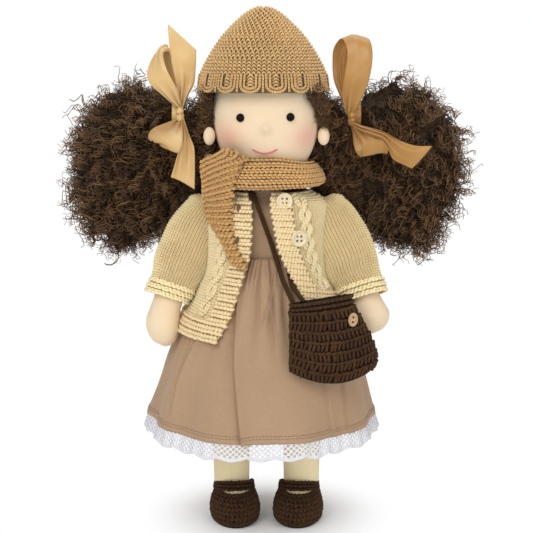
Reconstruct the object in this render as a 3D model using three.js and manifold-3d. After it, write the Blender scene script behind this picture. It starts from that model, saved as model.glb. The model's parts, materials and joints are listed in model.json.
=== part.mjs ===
// A dressed rag doll with two hair bunches, a knitted hat, scarf and cardigan, a gathered dress
// with a lace hem, crocheted shoes and a small crocheted shoulder bag. Millimetres, +Z up, the
// doll faces -Y, and the origin is on the ground in the middle of the footprint box.

import * as THREE from 'three';
import { mergeVertices } from 'three/addons/utils/BufferGeometryUtils.js';
import Module from 'manifold-3d';

const wasm = await Module();
wasm.setup();

// Clearances and cloth gauges
const seatGap = 0.35;
const cutOverrun = 40;
const dressCloth = 1.4;
const knitThickness = 2.8;
const scarfThickness = 4.2;
const laceThickness = 1.1;
const neckbandHeight = 3;
const neckbandRise = 1.4;
const ribbonWidth = 19;
const ribbonThickness = 1;

// Legs and feet
const hipLevel = 146;
const legSpacing = 53;
const hipRadius = 15.6;
const kneeRadius = 15;
const ankleRadius = 13.6;
const ankleLevel = 30;
const footLength = 47;
const footWidth = 31;
const footHeight = 13;
const footAhead = 11;

// Shoes
const soleThickness = 3.6;
const shoeWall = 3.2;
const shoeStrapHeight = 8;
const shoeStrapThickness = 3.4;
const instepGap = 1.2;

// Torso and neck
const torsoHeight = 80;
const torsoWidth = 76;
const torsoDepth = 50;
const waistAboveHip = 54;
const neckRadius = 15.5;
const neckLength = 11;
const shoulderDrop = 4;

// Head
const headWidth = 79;
const headDepth = 75;
const headHeight = 100;
const noseRadius = 3.4;
const noseBelowMiddle = 8.5;
const eyeRadius = 2.9;
const eyeSpacing = 35;
const eyeBelowMiddle = 1.5;
const earHeight = 14;
const earWidth = 9;
const earDepth = 8;
const earAhead = 13;
const earBelowMiddle = 15;
const earReach = 41.2;

// Hair on the head
const hairThickness = 4;
const hairCapBack = 2.5;
const headTurnRoom = 1.2;
const hairlineDepth = 10;
const lockHeight = 56;
const lockDepth = 30;
const lockBelowMiddle = 14;

// Hair bunches
const tieReach = 65;
const tieBehind = 2;
const bunchNeckRadius = 8;
const bunchWidth = 90;
const bunchHeight = 128;
const bunchDepth = 54;
const bunchReach = 104;
const bunchTopAboveTie = 22.5;
const bunchLean = 30;

// Bow bands and knots
const bandWidth = 7;
const bandThickness = 1.6;
const knotRadius = 4.6;

// Hat
const hatWidth = 94;
const hatDepth = 94;
const hatHeight = 60;
const hatBrimHeight = 13;
const hatWall = 2.8;
const hatRimAboveMiddle = 16.5;
const hatShift = -2.4;
const hatBehind = 2;

// Dress
const skirtLength = 125;
const hemWidth = 168;
const hemDepth = 138;
const foldDepth = 2.6;
const foldCount = 10;
const laceHeight = 11.5;
const laceFlare = 2;
const scallopCount = 26;
const scallopDepth = 2.4;

// Cardigan
const cardiganAboveShoulder = 10;
const shoulderWidth = 92;
const cardiganHemWidth = 132;
const cardiganHemDepth = 108;
const cardiganLength = 98;
const armholeShare = 0.56;
const leftFrontDrop = 8;
const rightFrontRise = 20;

// Arms and sleeves
const shoulderBehind = 2;
const armLength = 108;
const handDepth = 20;
const upperArmWidth = 24;
const sleeveLength = 70;
const sleeveWidth = 36;
const cuffWidth = 34;
const armRootInset = 2;
const armRootDrop = 6;
const leftWristBend = 10;
const rightWristBend = 3;

// Scarf
const scarfWidth = 86;
const scarfDepth = 79;
const scarfHeight = 22.5;
const scarfBulk = 10;
const scarfBaseAboveShoulder = 13.4;
const scarfTailLength = 79;
const scarfTailWidth = 30;
const scarfTailReach = 31;
const scarfTailTipReach = 17;

// Buttons
const buttonRadius = 6.1;
const buttonThickness = 2.4;
const buttonRimWidth = 1.3;
const buttonRimHeight = 0.7;
const buttonHoleRadius = 0.75;
const buttonHoleSpacing = 2.9;
const upperButtonReach = 12.4;
const upperButtonLevel = 242;
const lowerButtonReach = 22.4;
const lowerButtonLevel = 216;

// Bag
const bagHeight = 48;
const bagTopWidth = 43;
const bagBottomWidth = 61;
const bagMouthDepth = 9;
const bagBottomDepth = 13;
const bagWall = 2.2;
const bagInnerEnd = 17;
const bagRimLevel = 173;
const bagAheadShare = 0.855;
const bagRimRise = 9;
const bagCurl = 9;
const bagButtonHeight = 9.5;
const bagButtonWidth = 6.5;
const bagButtonThickness = 2;
const bagButtonReach = 60.5;
const bagButtonBelowRim = 10;
const strapDiameter = 3;

// Counts of facets
const bodySides = 20;
const limbSides = 16;
const wrapSides = 28;
const foldSides = 48;
const beadSides = 12;

const skinColor = 0xf3dcc0;
const materials = {
  skin: new THREE.MeshStandardMaterial({ color: skinColor, roughness: 0.85 }),
  stocking: new THREE.MeshStandardMaterial({ color: 0xefdcaf, roughness: 0.9 }),
  hair: new THREE.MeshStandardMaterial({ color: 0x3a2a1e, roughness: 0.8 }),
  tanYarn: new THREE.MeshStandardMaterial({ color: 0xc99c62, roughness: 0.95 }),
  creamYarn: new THREE.MeshStandardMaterial({ color: 0xe6cf98, roughness: 0.95 }),
  brownYarn: new THREE.MeshStandardMaterial({ color: 0x3d2517, roughness: 0.95 }),
  dress: new THREE.MeshStandardMaterial({ color: 0xa98568, roughness: 0.85 }),
  lace: new THREE.MeshStandardMaterial({ color: 0xf4f2ee, roughness: 0.8 }),
  satin: new THREE.MeshStandardMaterial({ color: 0xd2a25c, roughness: 0.35 }),
  eye: new THREE.MeshStandardMaterial({ color: 0x17110e, roughness: 0.3 }),
  button: new THREE.MeshStandardMaterial({ color: 0xe9d6a8, roughness: 0.4 }),
  wood: new THREE.MeshStandardMaterial({ color: 0xb98f5e, roughness: 0.6 }),
};

const doll = new THREE.Group();

// Levels worked out from the sizes above
const waistLevel = hipLevel + waistAboveHip;
const torsoBottom = hipLevel + hipRadius + seatGap;
const torsoTop = torsoBottom + torsoHeight;
const neckTop = torsoTop + neckLength;
const headMiddle = neckTop + headHeight / 2;
const tieLevel = headMiddle;
const hemLevel = waistLevel - skirtLength;
const bodiceLayer = 2 * seatGap + dressCloth;
const shoulderLevel = torsoTop - shoulderDrop;
const cardiganTop = shoulderLevel + cardiganAboveShoulder;
const scarfBase = shoulderLevel + scarfBaseAboveShoulder;
const scarfTop = scarfBase + scarfHeight;
const scarfShift = hatShift / 2;
const bagAhead = bagAheadShare * hemDepth / 2;

function turnSteps(count) {
  return Array.from({ length: count }, (_, i) => (i / count) * Math.PI * 2);
}

// Smooth value of a table whose rows start with a rising key
function readTable(table, key) {
  const last = table.length - 1;
  let i = 0;
  while (i < last - 1 && key > table[i + 1][0]) {
    i += 1;
  }
  const span = table[i + 1][0] - table[i][0];
  const t = THREE.MathUtils.clamp((key - table[i][0]) / span, 0, 1);
  const before = table[Math.max(i - 1, 0)];
  const after = table[Math.min(i + 2, last)];
  return table[i].slice(1).map((value, k) => {
    const next = table[i + 1][k + 1];
    const slopeIn = ((next - before[k + 1]) / (table[i + 1][0] - before[0])) * span;
    const slopeOut = ((after[k + 1] - value) / (after[0] - table[i][0])) * span;
    const t2 = t * t;
    const t3 = t2 * t;
    return (2 * t3 - 3 * t2 + 1) * value + (t3 - 2 * t2 + t) * slopeIn
      + (3 * t2 - 2 * t3) * next + (t3 - t2) * slopeOut;
  });
}

function geometryFrom(points, faces) {
  let volume = 0;
  for (const [a, b, c] of faces) {
    volume += points[a].dot(points[b].clone().cross(points[c]));
  }
  const order = volume < 0 ? faces.map(([a, b, c]) => [a, c, b]) : faces;
  const geometry = new THREE.BufferGeometry();
  const flat = points.flatMap((p) => [p.x, p.y, p.z]);
  geometry.setAttribute('position', new THREE.Float32BufferAttribute(flat, 3));
  geometry.setIndex(order.flat());
  geometry.computeVertexNormals();
  return geometry;
}

// Closed solid through rings of as many points each, with a fan over either end
function loft(rings) {
  const sides = rings[0].length;
  const points = rings.flat();
  const faces = bandFaces(rings.length - 1, sides);
  for (const [ring, start] of [[rings[0], 0], [rings.at(-1), (rings.length - 1) * sides]]) {
    const middle = new THREE.Vector3();
    ring.forEach((p) => middle.addScaledVector(p, 1 / sides));
    points.push(middle);
    for (let k = 0; k < sides; k += 1) {
      const next = (k + 1) % sides;
      const fan = [points.length - 1, start + next, start + k];
      faces.push(start === 0 ? fan : fan.reverse());
    }
  }
  return geometryFrom(points, faces);
}

function bandFaces(bands, sides, wrapAt = Infinity) {
  const faces = [];
  for (let r = 0; r < bands; r += 1) {
    for (let k = 0; k < sides; k += 1) {
      const next = (k + 1) % sides;
      const upper = ((r + 1) % wrapAt) * sides;
      faces.push([r * sides + k, r * sides + next, upper + k]);
      faces.push([r * sides + next, upper + next, upper + k]);
    }
  }
  return faces;
}

// Hollow tube wall: outer rings one way, inner rings back
function tubeWall(outer, inner) {
  const rings = [...outer, ...inner.slice().reverse()];
  return geometryFrom(rings.flat(), bandFaces(rings.length, rings[0].length, rings.length));
}

// Sheet with two faces, given as grids of rows of points
function sheet(front, back) {
  const rows = front.length;
  const columns = front[0].length;
  const points = [...front.flat(), ...back.flat()];
  const behind = rows * columns;
  const faces = [];
  for (let r = 0; r < rows - 1; r += 1) {
    for (let c = 0; c < columns - 1; c += 1) {
      const a = r * columns + c;
      faces.push([a, a + 1, a + columns], [a + 1, a + columns + 1, a + columns]);
      const b = a + behind;
      faces.push([b, b + columns, b + 1], [b + 1, b + columns, b + columns + 1]);
    }
  }
  const rim = [];
  for (let c = 0; c < columns; c += 1) rim.push(c);
  for (let r = 1; r < rows; r += 1) rim.push(r * columns + columns - 1);
  for (let c = columns - 2; c >= 0; c -= 1) rim.push((rows - 1) * columns + c);
  for (let r = rows - 2; r > 0; r -= 1) rim.push(r * columns);
  rim.forEach((a, i) => {
    const b = rim[(i + 1) % rim.length];
    faces.push([a, a + behind, b], [b, a + behind, b + behind]);
  });
  return geometryFrom(points, faces);
}

function ellipseRing(x, y, z, halfWidth, halfDepth, sides = bodySides) {
  return turnSteps(sides).map((angle) => new THREE.Vector3(
    x + halfWidth * Math.cos(angle), y + halfDepth * Math.sin(angle), z,
  ));
}

function ellipsoid(width, depth, height, sides = 20) {
  const geometry = new THREE.SphereGeometry(1, sides, Math.round(sides * 0.7));
  geometry.scale(width / 2, depth / 2, height / 2);
  return geometry;
}

function toSolid(geometry) {
  const plain = geometry.clone();
  plain.deleteAttribute('normal');
  plain.deleteAttribute('uv');
  const merged = mergeVertices(plain);
  return new wasm.Manifold(new wasm.Mesh({
    numProp: 3,
    vertProperties: new Float32Array(merged.attributes.position.array),
    triVerts: new Uint32Array(merged.index.array),
  }));
}

function fromSolid(solid) {
  const mesh = solid.getMesh();
  const geometry = new THREE.BufferGeometry();
  geometry.setAttribute('position', new THREE.BufferAttribute(mesh.vertProperties, 3));
  geometry.setIndex(new THREE.BufferAttribute(mesh.triVerts, 1));
  geometry.computeVertexNormals();
  return geometry;
}

function placed(geometry, x, y, z) {
  return geometry.clone().translate(x, y, z);
}

function cutBy(geometry, ...cutters) {
  return fromSolid(cutters.reduce((rest, cutter) => rest.subtract(toSolid(cutter)), toSolid(geometry)));
}

// Of a shape that a cut has parted, the largest piece
function largestOf(geometry) {
  const bodies = toSolid(geometry).decompose();
  return fromSolid(bodies.reduce((best, body) => (body.volume() > best.volume() ? body : best)));
}

function joined(...geometries) {
  return fromSolid(geometries.map(toSolid).reduce((whole, next) => whole.add(next)));
}

function addPiece(name, geometry, material, group = doll) {
  const mesh = new THREE.Mesh(geometry, material);
  mesh.name = name;
  group.add(mesh);
  return mesh;
}

// Torso: rows of share of height, of half the width and of half the depth
const torsoShares = [
  [0, 0.74, 0.76], [0.08, 0.9, 0.95], [0.3, 0.92, 1], [0.5, 0.77, 0.92],
  [0.72, 0.92, 0.98], [0.88, 1, 0.92], [0.96, 0.88, 0.76], [1, 0.45, 0.67],
];

function torsoHalf(level, growth = 0) {
  const share = THREE.MathUtils.clamp((level - torsoBottom) / torsoHeight, 0, 1);
  const [across, deep] = readTable(torsoShares, share);
  return [across * torsoWidth / 2 + growth, deep * torsoDepth / 2 + growth];
}

function levelsBetween(low, high, count) {
  return Array.from({ length: count + 1 }, (_, i) => low + (high - low) * i / count);
}

function torsoLevels() {
  return [...levelsBetween(torsoBottom, waistLevel, 5), ...levelsBetween(waistLevel, torsoTop, 7).slice(1)];
}

function buildTorso() {
  const rings = torsoLevels().map((z) => ellipseRing(0, 0, z, ...torsoHalf(z)));
  const neck = [torsoTop, torsoTop + neckLength / 2, neckTop - seatGap];
  neck.forEach((z) => rings.push(ellipseRing(0, 0, z, neckRadius, neckRadius)));
  return addPiece('torso', loft(rings), materials.skin);
}

// Dress bodice: a cloth tube that follows the torso from the waist seam to the shoulders
function buildBodice() {
  const levels = torsoLevels().filter((z) => z >= waistLevel && z < torsoTop);
  const wall = (growth) => {
    const rings = levels.map((z) => ellipseRing(0, 0, z, ...torsoHalf(z, growth)));
    const neckband = neckRadius + growth;
    const foot = torsoTop + neckbandRise;
    return [...rings, ellipseRing(0, 0, foot, neckband, neckband),
      ellipseRing(0, 0, foot + neckbandHeight, neckband, neckband)];
  };
  return addPiece('dress_bodice', tubeWall(wall(bodiceLayer), wall(2 * seatGap)), materials.dress);
}

// Skirt: rows of share of the drop from the waist, of half the hem width and of half its depth
const skirtShares = [
  [0, 0.4, 0.42], [0.08, 0.49, 0.49], [0.16, 0.56, 0.56], [0.28, 0.63, 0.64],
  [0.42, 0.73, 0.72], [0.58, 0.83, 0.81], [0.77, 0.9, 0.9], [1, 1, 1],
];

function skirtHalf(level, growth = 0) {
  const share = THREE.MathUtils.clamp((waistLevel - level) / skirtLength, 0, 1);
  const [across, deep] = readTable(skirtShares, share);
  return [across * hemWidth / 2 + growth, deep * hemDepth / 2 + growth];
}

// Soft pleats that start at the gathers and open towards the hem
function foldAt(angle, level) {
  const drop = THREE.MathUtils.clamp((waistLevel - level) / skirtLength, 0, 1);
  const opening = THREE.MathUtils.smoothstep(drop, 0.35, 1);
  const wave = Math.cos(angle * foldCount + Math.sin(angle * 2)) * 0.65 + Math.cos(angle * 4 + 1) * 0.35;
  return foldDepth * opening * wave;
}

function placeOn(halfWidth, halfDepth, angle, level) {
  return new THREE.Vector3(halfWidth * Math.cos(angle), halfDepth * Math.sin(angle), level);
}

function foldedRing(level, growth, sides = foldSides) {
  const [halfWidth, halfDepth] = skirtHalf(level, growth);
  return turnSteps(sides).map((angle) => {
    const fold = foldAt(angle, level);
    return placeOn(halfWidth + fold, halfDepth + fold, angle, level);
  });
}

function buildSkirt() {
  const levels = levelsBetween(waistLevel - seatGap, hemLevel, 6);
  const outer = levels.map((z) => foldedRing(z, 0));
  const inner = levels.map((z) => foldedRing(z, -dressCloth));
  return addPiece('dress_skirt', tubeWall(outer, inner), materials.dress);
}

// Lace trim: hangs from the hem, with a scalloped lower edge
function buildLace() {
  const pointsPerScallop = 3;
  const sides = scallopCount * pointsPerScallop;
  const top = hemLevel - seatGap;
  const ringAt = (drop, growth) => turnSteps(sides).map((angle) => {
    const [halfWidth, halfDepth] = skirtHalf(hemLevel, growth + laceFlare * drop);
    const fold = foldAt(angle, hemLevel);
    const scallop = Math.abs(Math.sin(angle * scallopCount / 2)) * scallopDepth;
    const level = top - drop * (laceHeight - scallopDepth + scallop);
    return placeOn(halfWidth + fold, halfDepth + fold, angle, level);
  });
  const [outer, inner] = [0, -laceThickness].map((growth) => [ringAt(0, growth), ringAt(1, growth)]);
  return addPiece('lace_trim', tubeWall(outer, inner), materials.lace);
}

// Legs: stuffed tubes with a round hip and a foot that fills the shoe
const legShares = [
  [0, 1, 0], [0.35, 0, 1], [0.75, 0, 0.55], [1, 0, 0],
];

function legRadius(share) {
  const [hip, knee] = readTable(legShares, share);
  const ankle = 1 - Math.min(hip + knee, 1);
  return hip * hipRadius + Math.min(knee, 1) * kneeRadius + ankle * ankleRadius;
}

function legSolid(x, growth = 0) {
  const rings = [];
  for (const angle of [84, 60, 38, 16]) {
    const tilt = THREE.MathUtils.degToRad(angle);
    const radius = (hipRadius + growth) * Math.cos(tilt);
    const level = hipLevel + (hipRadius + growth) * Math.sin(tilt);
    rings.push(ellipseRing(x, 0, level, radius, radius, limbSides));
  }
  const shaft = levelsBetween(hipLevel, soleThickness + footHeight / 2, 6);
  shaft.forEach((z) => {
    const share = (hipLevel - z) / (hipLevel - ankleLevel);
    const radius = legRadius(Math.min(share, 1)) + growth;
    rings.push(ellipseRing(x, 0, z, radius, radius, limbSides));
  });
  return loft(rings);
}

function footSolid(x, growth = 0) {
  const footShares = [
    [0, 0.8, 0.86], [0.25, 0.97, 0.98], [0.6, 1, 1], [0.85, 0.86, 0.82], [1, 0.6, 0.5],
  ];
  const base = soleThickness + seatGap - growth;
  const rings = footShares.map(([share, across, along]) => ellipseRing(
    x, -footAhead, base + share * (footHeight + 2 * growth),
    across * footWidth / 2 + growth, along * footLength / 2 + growth, limbSides,
  ));
  return loft(rings);
}

function buildLeg(side, x) {
  return addPiece(`leg_${side}`, joined(legSolid(x), footSolid(x)), materials.stocking);
}

// Shoes: a flat sole, a crocheted upper round the foot and a band round the ankle
function soleSolid(x) {
  const outline = new THREE.Shape();
  const halfWidth = footWidth / 2 + shoeWall;
  const halfLength = footLength / 2 + shoeWall;
  outline.absellipse(x, -footAhead, halfWidth, halfLength, 0, Math.PI * 2);
  return new THREE.ExtrudeGeometry(outline, { depth: soleThickness, bevelEnabled: false, curveSegments: 14 });
}

function upperSolid(x) {
  const upperShares = [
    [0, 0.94, 0.97], [0.3, 1, 1], [0.65, 0.97, 0.95], [0.9, 0.86, 0.8], [1, 0.74, 0.66],
  ];
  const rings = upperShares.map(([share, across, along]) => ellipseRing(
    x, -footAhead * (1 - 0.25 * share), soleThickness + seatGap + share * (footHeight + shoeWall),
    across * (footWidth / 2 + shoeWall), along * (footLength / 2 + shoeWall), limbSides,
  ));
  return loft(rings);
}

function strapSolid(x) {
  const low = soleThickness + seatGap + footHeight + shoeWall + instepGap;
  const inner = ankleRadius + seatGap * 2;
  const outer = inner + shoeStrapThickness;
  const profile = [
    [inner, low], [outer - shoeStrapThickness / 4, low], [outer, low + shoeStrapHeight / 3],
    [outer, low + shoeStrapHeight * 2 / 3], [outer - shoeStrapThickness / 3, low + shoeStrapHeight],
    [inner, low + shoeStrapHeight], [inner, low],
  ];
  const band = new THREE.LatheGeometry(profile.map(([r, z]) => new THREE.Vector2(r, z)), limbSides);
  return band.rotateX(Math.PI / 2).translate(x, 0, 0);
}

function buildShoe(side, x) {
  const room = [legSolid(x, seatGap), footSolid(x, seatGap)];
  addPiece(`shoe_sole_${side}`, soleSolid(x), materials.brownYarn);
  addPiece(`shoe_upper_${side}`, cutBy(upperSolid(x), ...room), materials.brownYarn);
  addPiece(`shoe_strap_${side}`, cutBy(strapSolid(x), ...room), materials.brownYarn);
}

// Head: rows of share of height, of half the width and of half the depth
function headSolid(growth = 0) {
  const steps = 15;
  const rings = [];
  for (let i = 1; i < steps; i += 1) {
    const tilt = -Math.PI / 2 + Math.PI * i / steps;
    const round = Math.cos(tilt);
    rings.push(ellipseRing(
      0, 0, headMiddle + (headHeight / 2 + growth) * Math.sin(tilt),
      (headWidth / 2 + growth) * round, (headDepth / 2 + growth) * round,
    ));
  }
  return loft(rings);
}

function faceDepth(x, level, growth = 0) {
  const high = (level - headMiddle) / (headHeight / 2 + growth);
  const across = x / (headWidth / 2 + growth);
  return -(headDepth / 2 + growth) * Math.sqrt(Math.max(0, 1 - high * high - across * across));
}

function buildHead() {
  const noseLevel = headMiddle - noseBelowMiddle;
  const nose = placed(
    ellipsoid(noseRadius * 2.4, noseRadius * 2.4, noseRadius * 2, beadSides),
    0, faceDepth(0, noseLevel), noseLevel,
  );
  return addPiece('head', joined(headSolid(), nose), materials.skin);
}

function buildEye(side, sign) {
  const level = headMiddle - eyeBelowMiddle;
  const x = sign * eyeSpacing / 2;
  const bead = placed(
    ellipsoid(eyeRadius * 2, eyeRadius * 2, eyeRadius * 2, beadSides),
    x, faceDepth(x, level) + eyeRadius / 3, level,
  );
  return addPiece(`eye_${side}`, cutBy(bead, headSolid(seatGap / 3)), materials.eye);
}

function earSolid(sign, growth = 0) {
  const ear = ellipsoid(earWidth + 2 * growth, earDepth + 2 * growth, earHeight + 2 * growth, beadSides);
  return placed(ear, sign * earReach, -earAhead, headMiddle - earBelowMiddle);
}

function buildEar(side, sign) {
  return addPiece(`ear_${side}`, cutBy(earSolid(sign), headSolid(seatGap)), materials.skin);
}

// Hair: a cap round the back of the head, with a lock on either side drawn to the bunch
function lockSolid(sign) {
  const lockReach = tieReach - 0.92 * bunchNeckRadius - seatGap;
  const lockShares = [
    [0.3, 0.8, 0.9], [0.55, 0.92, 1], [0.75, 1, 0.94], [0.9, 0.88, 0.82], [1, 0.6, 0.7],
  ];
  const rings = lockShares.map(([reach, tall, deep]) => turnSteps(limbSides).map((angle) => new THREE.Vector3(
    sign * reach * lockReach,
    tieBehind + deep * lockDepth / 2 * Math.cos(angle),
    headMiddle - lockBelowMiddle + tall * lockHeight / 2 * Math.sin(angle),
  )));
  return loft(rings);
}

const hatRim = headMiddle + hatRimAboveMiddle;
const hatShares = [
  [0, 1], [0.08, 0.985], [0.21, 0.95], [0.45, 0.785], [0.66, 0.6], [0.86, 0.355], [0.96, 0.19], [1, 0.06],
];

function buildHair() {
  const [capWidth, capDepth] = [headWidth, headDepth].map((size) => size + 2 * hairThickness);
  const cap = placed(
    ellipsoid(capWidth, capDepth, headHeight + hairThickness, bodySides), 0, hairCapBack, headMiddle,
  );
  const face = placed(
    new THREE.BoxGeometry(headWidth * 2, headDepth, headHeight * 2),
    0, -headDepth / 2 - hairlineDepth, headMiddle,
  );
  const scarfRoom = loft([neckTop - headHeight / 2, scarfTop + seatGap]
    .map((z) => scarfRing(z, headTurnRoom)));
  const shaped = joined(cutBy(cap, face), lockSolid(1), lockSolid(-1));
  const room = [headSolid(seatGap), earSolid(1, seatGap), earSolid(-1, seatGap), scarfRoom];
  return addPiece('hair_cap', cutBy(shaped, ...room), materials.hair);
}

// Bunches: rows of share of height from the bottom, shift of the middle across and back as shares
// of the lean, and shares of half the width and of half the depth
const bunchShares = [
  [0, 0.2, 1, 0.16, 0.22], [0.06, 0.22, 1, 0.44, 0.55], [0.18, 0.16, 0.94, 0.72, 0.82],
  [0.34, 0.06, 0.76, 0.92, 0.96], [0.5, 0, 0.46, 1, 1], [0.68, -0.06, 0.22, 0.93, 0.94],
  [0.83, -0.14, 0.12, 0.79, 0.8], [0.93, -0.2, 0.06, 0.56, 0.56], [1, -0.22, 0, 0.2, 0.22],
];

function bandSolid(sign, growth = 0) {
  const inner = bunchNeckRadius + seatGap - growth;
  const outer = bunchNeckRadius + seatGap + bandThickness + growth;
  const half = bandWidth / 2 + growth;
  const corners = [[inner, -half], [outer, -half], [outer, half], [inner, half], [inner, -half]];
  const profile = corners.map(([r, z]) => new THREE.Vector2(r, z));
  return new THREE.LatheGeometry(profile, limbSides).rotateZ(Math.PI / 2)
    .translate(sign * tieReach, tieBehind, tieLevel);
}

function bunchNeck(sign) {
  const gatherShares = [
    [-0.92, 0.1], [-0.83, 0.39], [-0.62, 0.67], [0, 1], [0.55, 1], [1.2, 1.35], [2.2, 1.9], [3.6, 2.1],
  ];
  const rings = gatherShares.map(([along, wide]) => turnSteps(limbSides).map((angle) => new THREE.Vector3(
    sign * (tieReach + along * bunchNeckRadius),
    tieBehind + Math.max(0, along - 0.55) * bunchNeckRadius * 0.5 + wide * bunchNeckRadius * Math.cos(angle),
    tieLevel + wide * bunchNeckRadius * Math.sin(angle),
  )));
  return loft(rings);
}

function buildBunch(side, sign) {
  const bottom = tieLevel + bunchTopAboveTie - bunchHeight;
  const rings = bunchShares.map(([share, out, back, wide, deep]) => ellipseRing(
    sign * (bunchReach + out * bunchLean), tieBehind + bunchDepth * 0.24 + back * bunchLean,
    bottom + share * bunchHeight, wide * bunchWidth / 2, deep * bunchDepth / 2,
  ));
  const clearOfBand = new THREE.CylinderGeometry(
    bunchNeckRadius + bandThickness + 3 * seatGap, bunchNeckRadius + bandThickness + 3 * seatGap,
    bandWidth * 2.4, limbSides,
  ).rotateZ(Math.PI / 2).translate(sign * (tieReach - bandWidth * 0.6), tieBehind, tieLevel);
  const shape = joined(cutBy(loft(rings), clearOfBand), bunchNeck(sign));
  return addPiece(`bunch_${side}`, shape, materials.hair);
}

// Ribbon: a strip swept through stations of a middle point, a width direction and a width share
function ribbonStrip(stations, growth = 0) {
  const rings = stations.map(({ at, across, share }, i) => {
    const before = stations[Math.max(i - 1, 0)].at;
    const after = stations[Math.min(i + 1, stations.length - 1)].at;
    const along = after.clone().sub(before).normalize();
    const flatwise = across.clone().addScaledVector(along, -across.dot(along)).normalize();
    const out = flatwise.clone().cross(along);
    const halfWidth = share * ribbonWidth / 2 + growth;
    return [[1, 1], [-1, 1], [-1, -1], [1, -1]].map(([u, v]) => at.clone()
      .addScaledVector(flatwise, u * halfWidth)
      .addScaledVector(out, v * (ribbonThickness / 2 + growth)));
  });
  return loft(rings);
}

function turned(vector, pitch, yaw, roll) {
  return vector.clone().applyEuler(new THREE.Euler(
    THREE.MathUtils.degToRad(pitch), THREE.MathUtils.degToRad(roll), THREE.MathUtils.degToRad(yaw), 'ZYX',
  ));
}

// Loop of a bow: rises from the knot, turns over and comes back to it
function bowLoop(knot, { length, depth, roll, yaw, pitch = 0, ahead = 0, steps = 14 }) {
  const start = knot.clone().setY(knot.y - ahead);
  const stations = [];
  for (let i = 0; i <= steps; i += 1) {
    const angle = THREE.MathUtils.degToRad(16 + 328 * i / steps);
    const bulge = Math.sin(angle) * Math.sin(angle / 2) * depth / 2;
    const local = new THREE.Vector3(0, -bulge, (1 - Math.cos(angle)) * length / 2);
    const share = THREE.MathUtils.lerp(0.3, 1, THREE.MathUtils.smoothstep(Math.sin(angle / 2), 0.1, 0.7));
    stations.push({
      at: turned(local, pitch, yaw, roll).add(start),
      across: turned(new THREE.Vector3(1, 0, 0), pitch, yaw, roll),
      share,
    });
  }
  return stations;
}

// Tail of a bow: leaves the knot, with a gentle bend and a slanted end
function bowTail(knot, { length, roll, yaw, pitch = 0, bend = 0, ahead = 0, steps = 6 }) {
  const start = knot.clone().setY(knot.y - ahead);
  const stations = [];
  for (let i = 0; i <= steps; i += 1) {
    const share = i / steps;
    const local = new THREE.Vector3(
      bend * Math.sin(share * Math.PI / 2) * share, -Math.sin(share * Math.PI) * ribbonThickness * 2,
      knotRadius * 0.7 + share * length,
    );
    stations.push({
      at: turned(local, pitch, yaw, roll).add(start),
      across: turned(new THREE.Vector3(1, 0, 0), pitch, yaw, roll),
      share: THREE.MathUtils.lerp(0.32, 1, THREE.MathUtils.smoothstep(share, 0, 0.75)),
    });
  }
  return stations;
}

// Sizes and angles of each bow's loops and tails
const upperLoopLength = 55;
const upperLoopDepth = 29;
const leftUpperLoopLength = 47;
const leftUpperLoopDepth = 24;
const lowerLoopLength = 27;
const lowerLoopDepth = 15;
const leftLowerLoopLength = 27;
const leftLowerLoopDepth = 14;
const leftUpperTailLength = 60;
const leftLowerTailLength = 50;
const rightTailLength = 58;
const tailBend = 5;
const stripStep = 2.6;

function knotAt(sign) {
  const front = tieBehind - bunchNeckRadius - seatGap - bandThickness - knotRadius * 0.8;
  return new THREE.Vector3(sign * tieReach, front, tieLevel);
}

function knotSolid(sign, growth = 0) {
  const knot = knotAt(sign);
  const size = 2 * (knotRadius + growth);
  return placed(ellipsoid(size * 0.9, size, size * 1.35, beadSides), knot.x, knot.y, knot.z);
}

// Bow: a band round the bunch with a knot, and strips that start at the knot and lie over those
// before them
function buildBow(side, sign, strips) {
  addPiece(`bow_knot_${side}`, joined(bandSolid(sign), knotSolid(sign)), materials.satin);
  const taken = [knotSolid(sign, seatGap), bandSolid(sign, seatGap)];
  for (const [name, stations] of strips) {
    addPiece(`${name}_${side}`, largestOf(cutBy(ribbonStrip(stations), ...taken)), materials.satin);
    taken.push(ribbonStrip(stations, seatGap));
  }
}

// Hat: a knitted dome with a ribbed brim that stands out a little
function buildHat() {
  const outer = hatShares.map(([share, across]) => new THREE.Vector2(
    across * hatWidth / 2, share * hatHeight,
  ));
  const brimLine = hatBrimHeight / hatHeight;
  const innerShares = hatShares.map(([share, across]) => [share * (1 - hatWall / hatHeight), across]);
  const inner = innerShares.map(([share, across]) => new THREE.Vector2(
    Math.max(across * hatWidth / 2 - hatWall, 0), share * hatHeight,
  )).reverse();
  const bulge = new THREE.Vector2(
    readTable(hatShares, brimLine / 2)[0] * hatWidth / 2 + hatWall / 3, brimLine / 2 * hatHeight,
  );
  outer.splice(1, 1, bulge);
  const profile = [...outer, new THREE.Vector2(0, hatHeight), ...inner];
  const innerTop = profile.findIndex((p) => p === inner[0]);
  profile.splice(innerTop, 0, new THREE.Vector2(0, inner[0].y));
  profile.push(outer[0].clone());
  const dome = new THREE.LatheGeometry(profile, wrapSides).rotateX(Math.PI / 2);
  dome.scale(1, hatDepth / hatWidth, 1);
  const hat = addPiece('hat', dome, materials.tanYarn);
  hat.position.set(hatShift, hatBehind, hatRim);
  return hat;
}

// Cardigan: rows of share of the drop from the neck, of half the width and of half the depth
const cardiganShares = [
  [0, 0.45, 0.5], [0.05, 0.61, 0.56], [0.1, 0.69, 0.6], [0.24, 0.695, 0.66],
  [0.45, 0.7, 0.7], [0.6, 0.71, 0.79], [0.8, 0.83, 0.89], [1, 1, 1],
];

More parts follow.
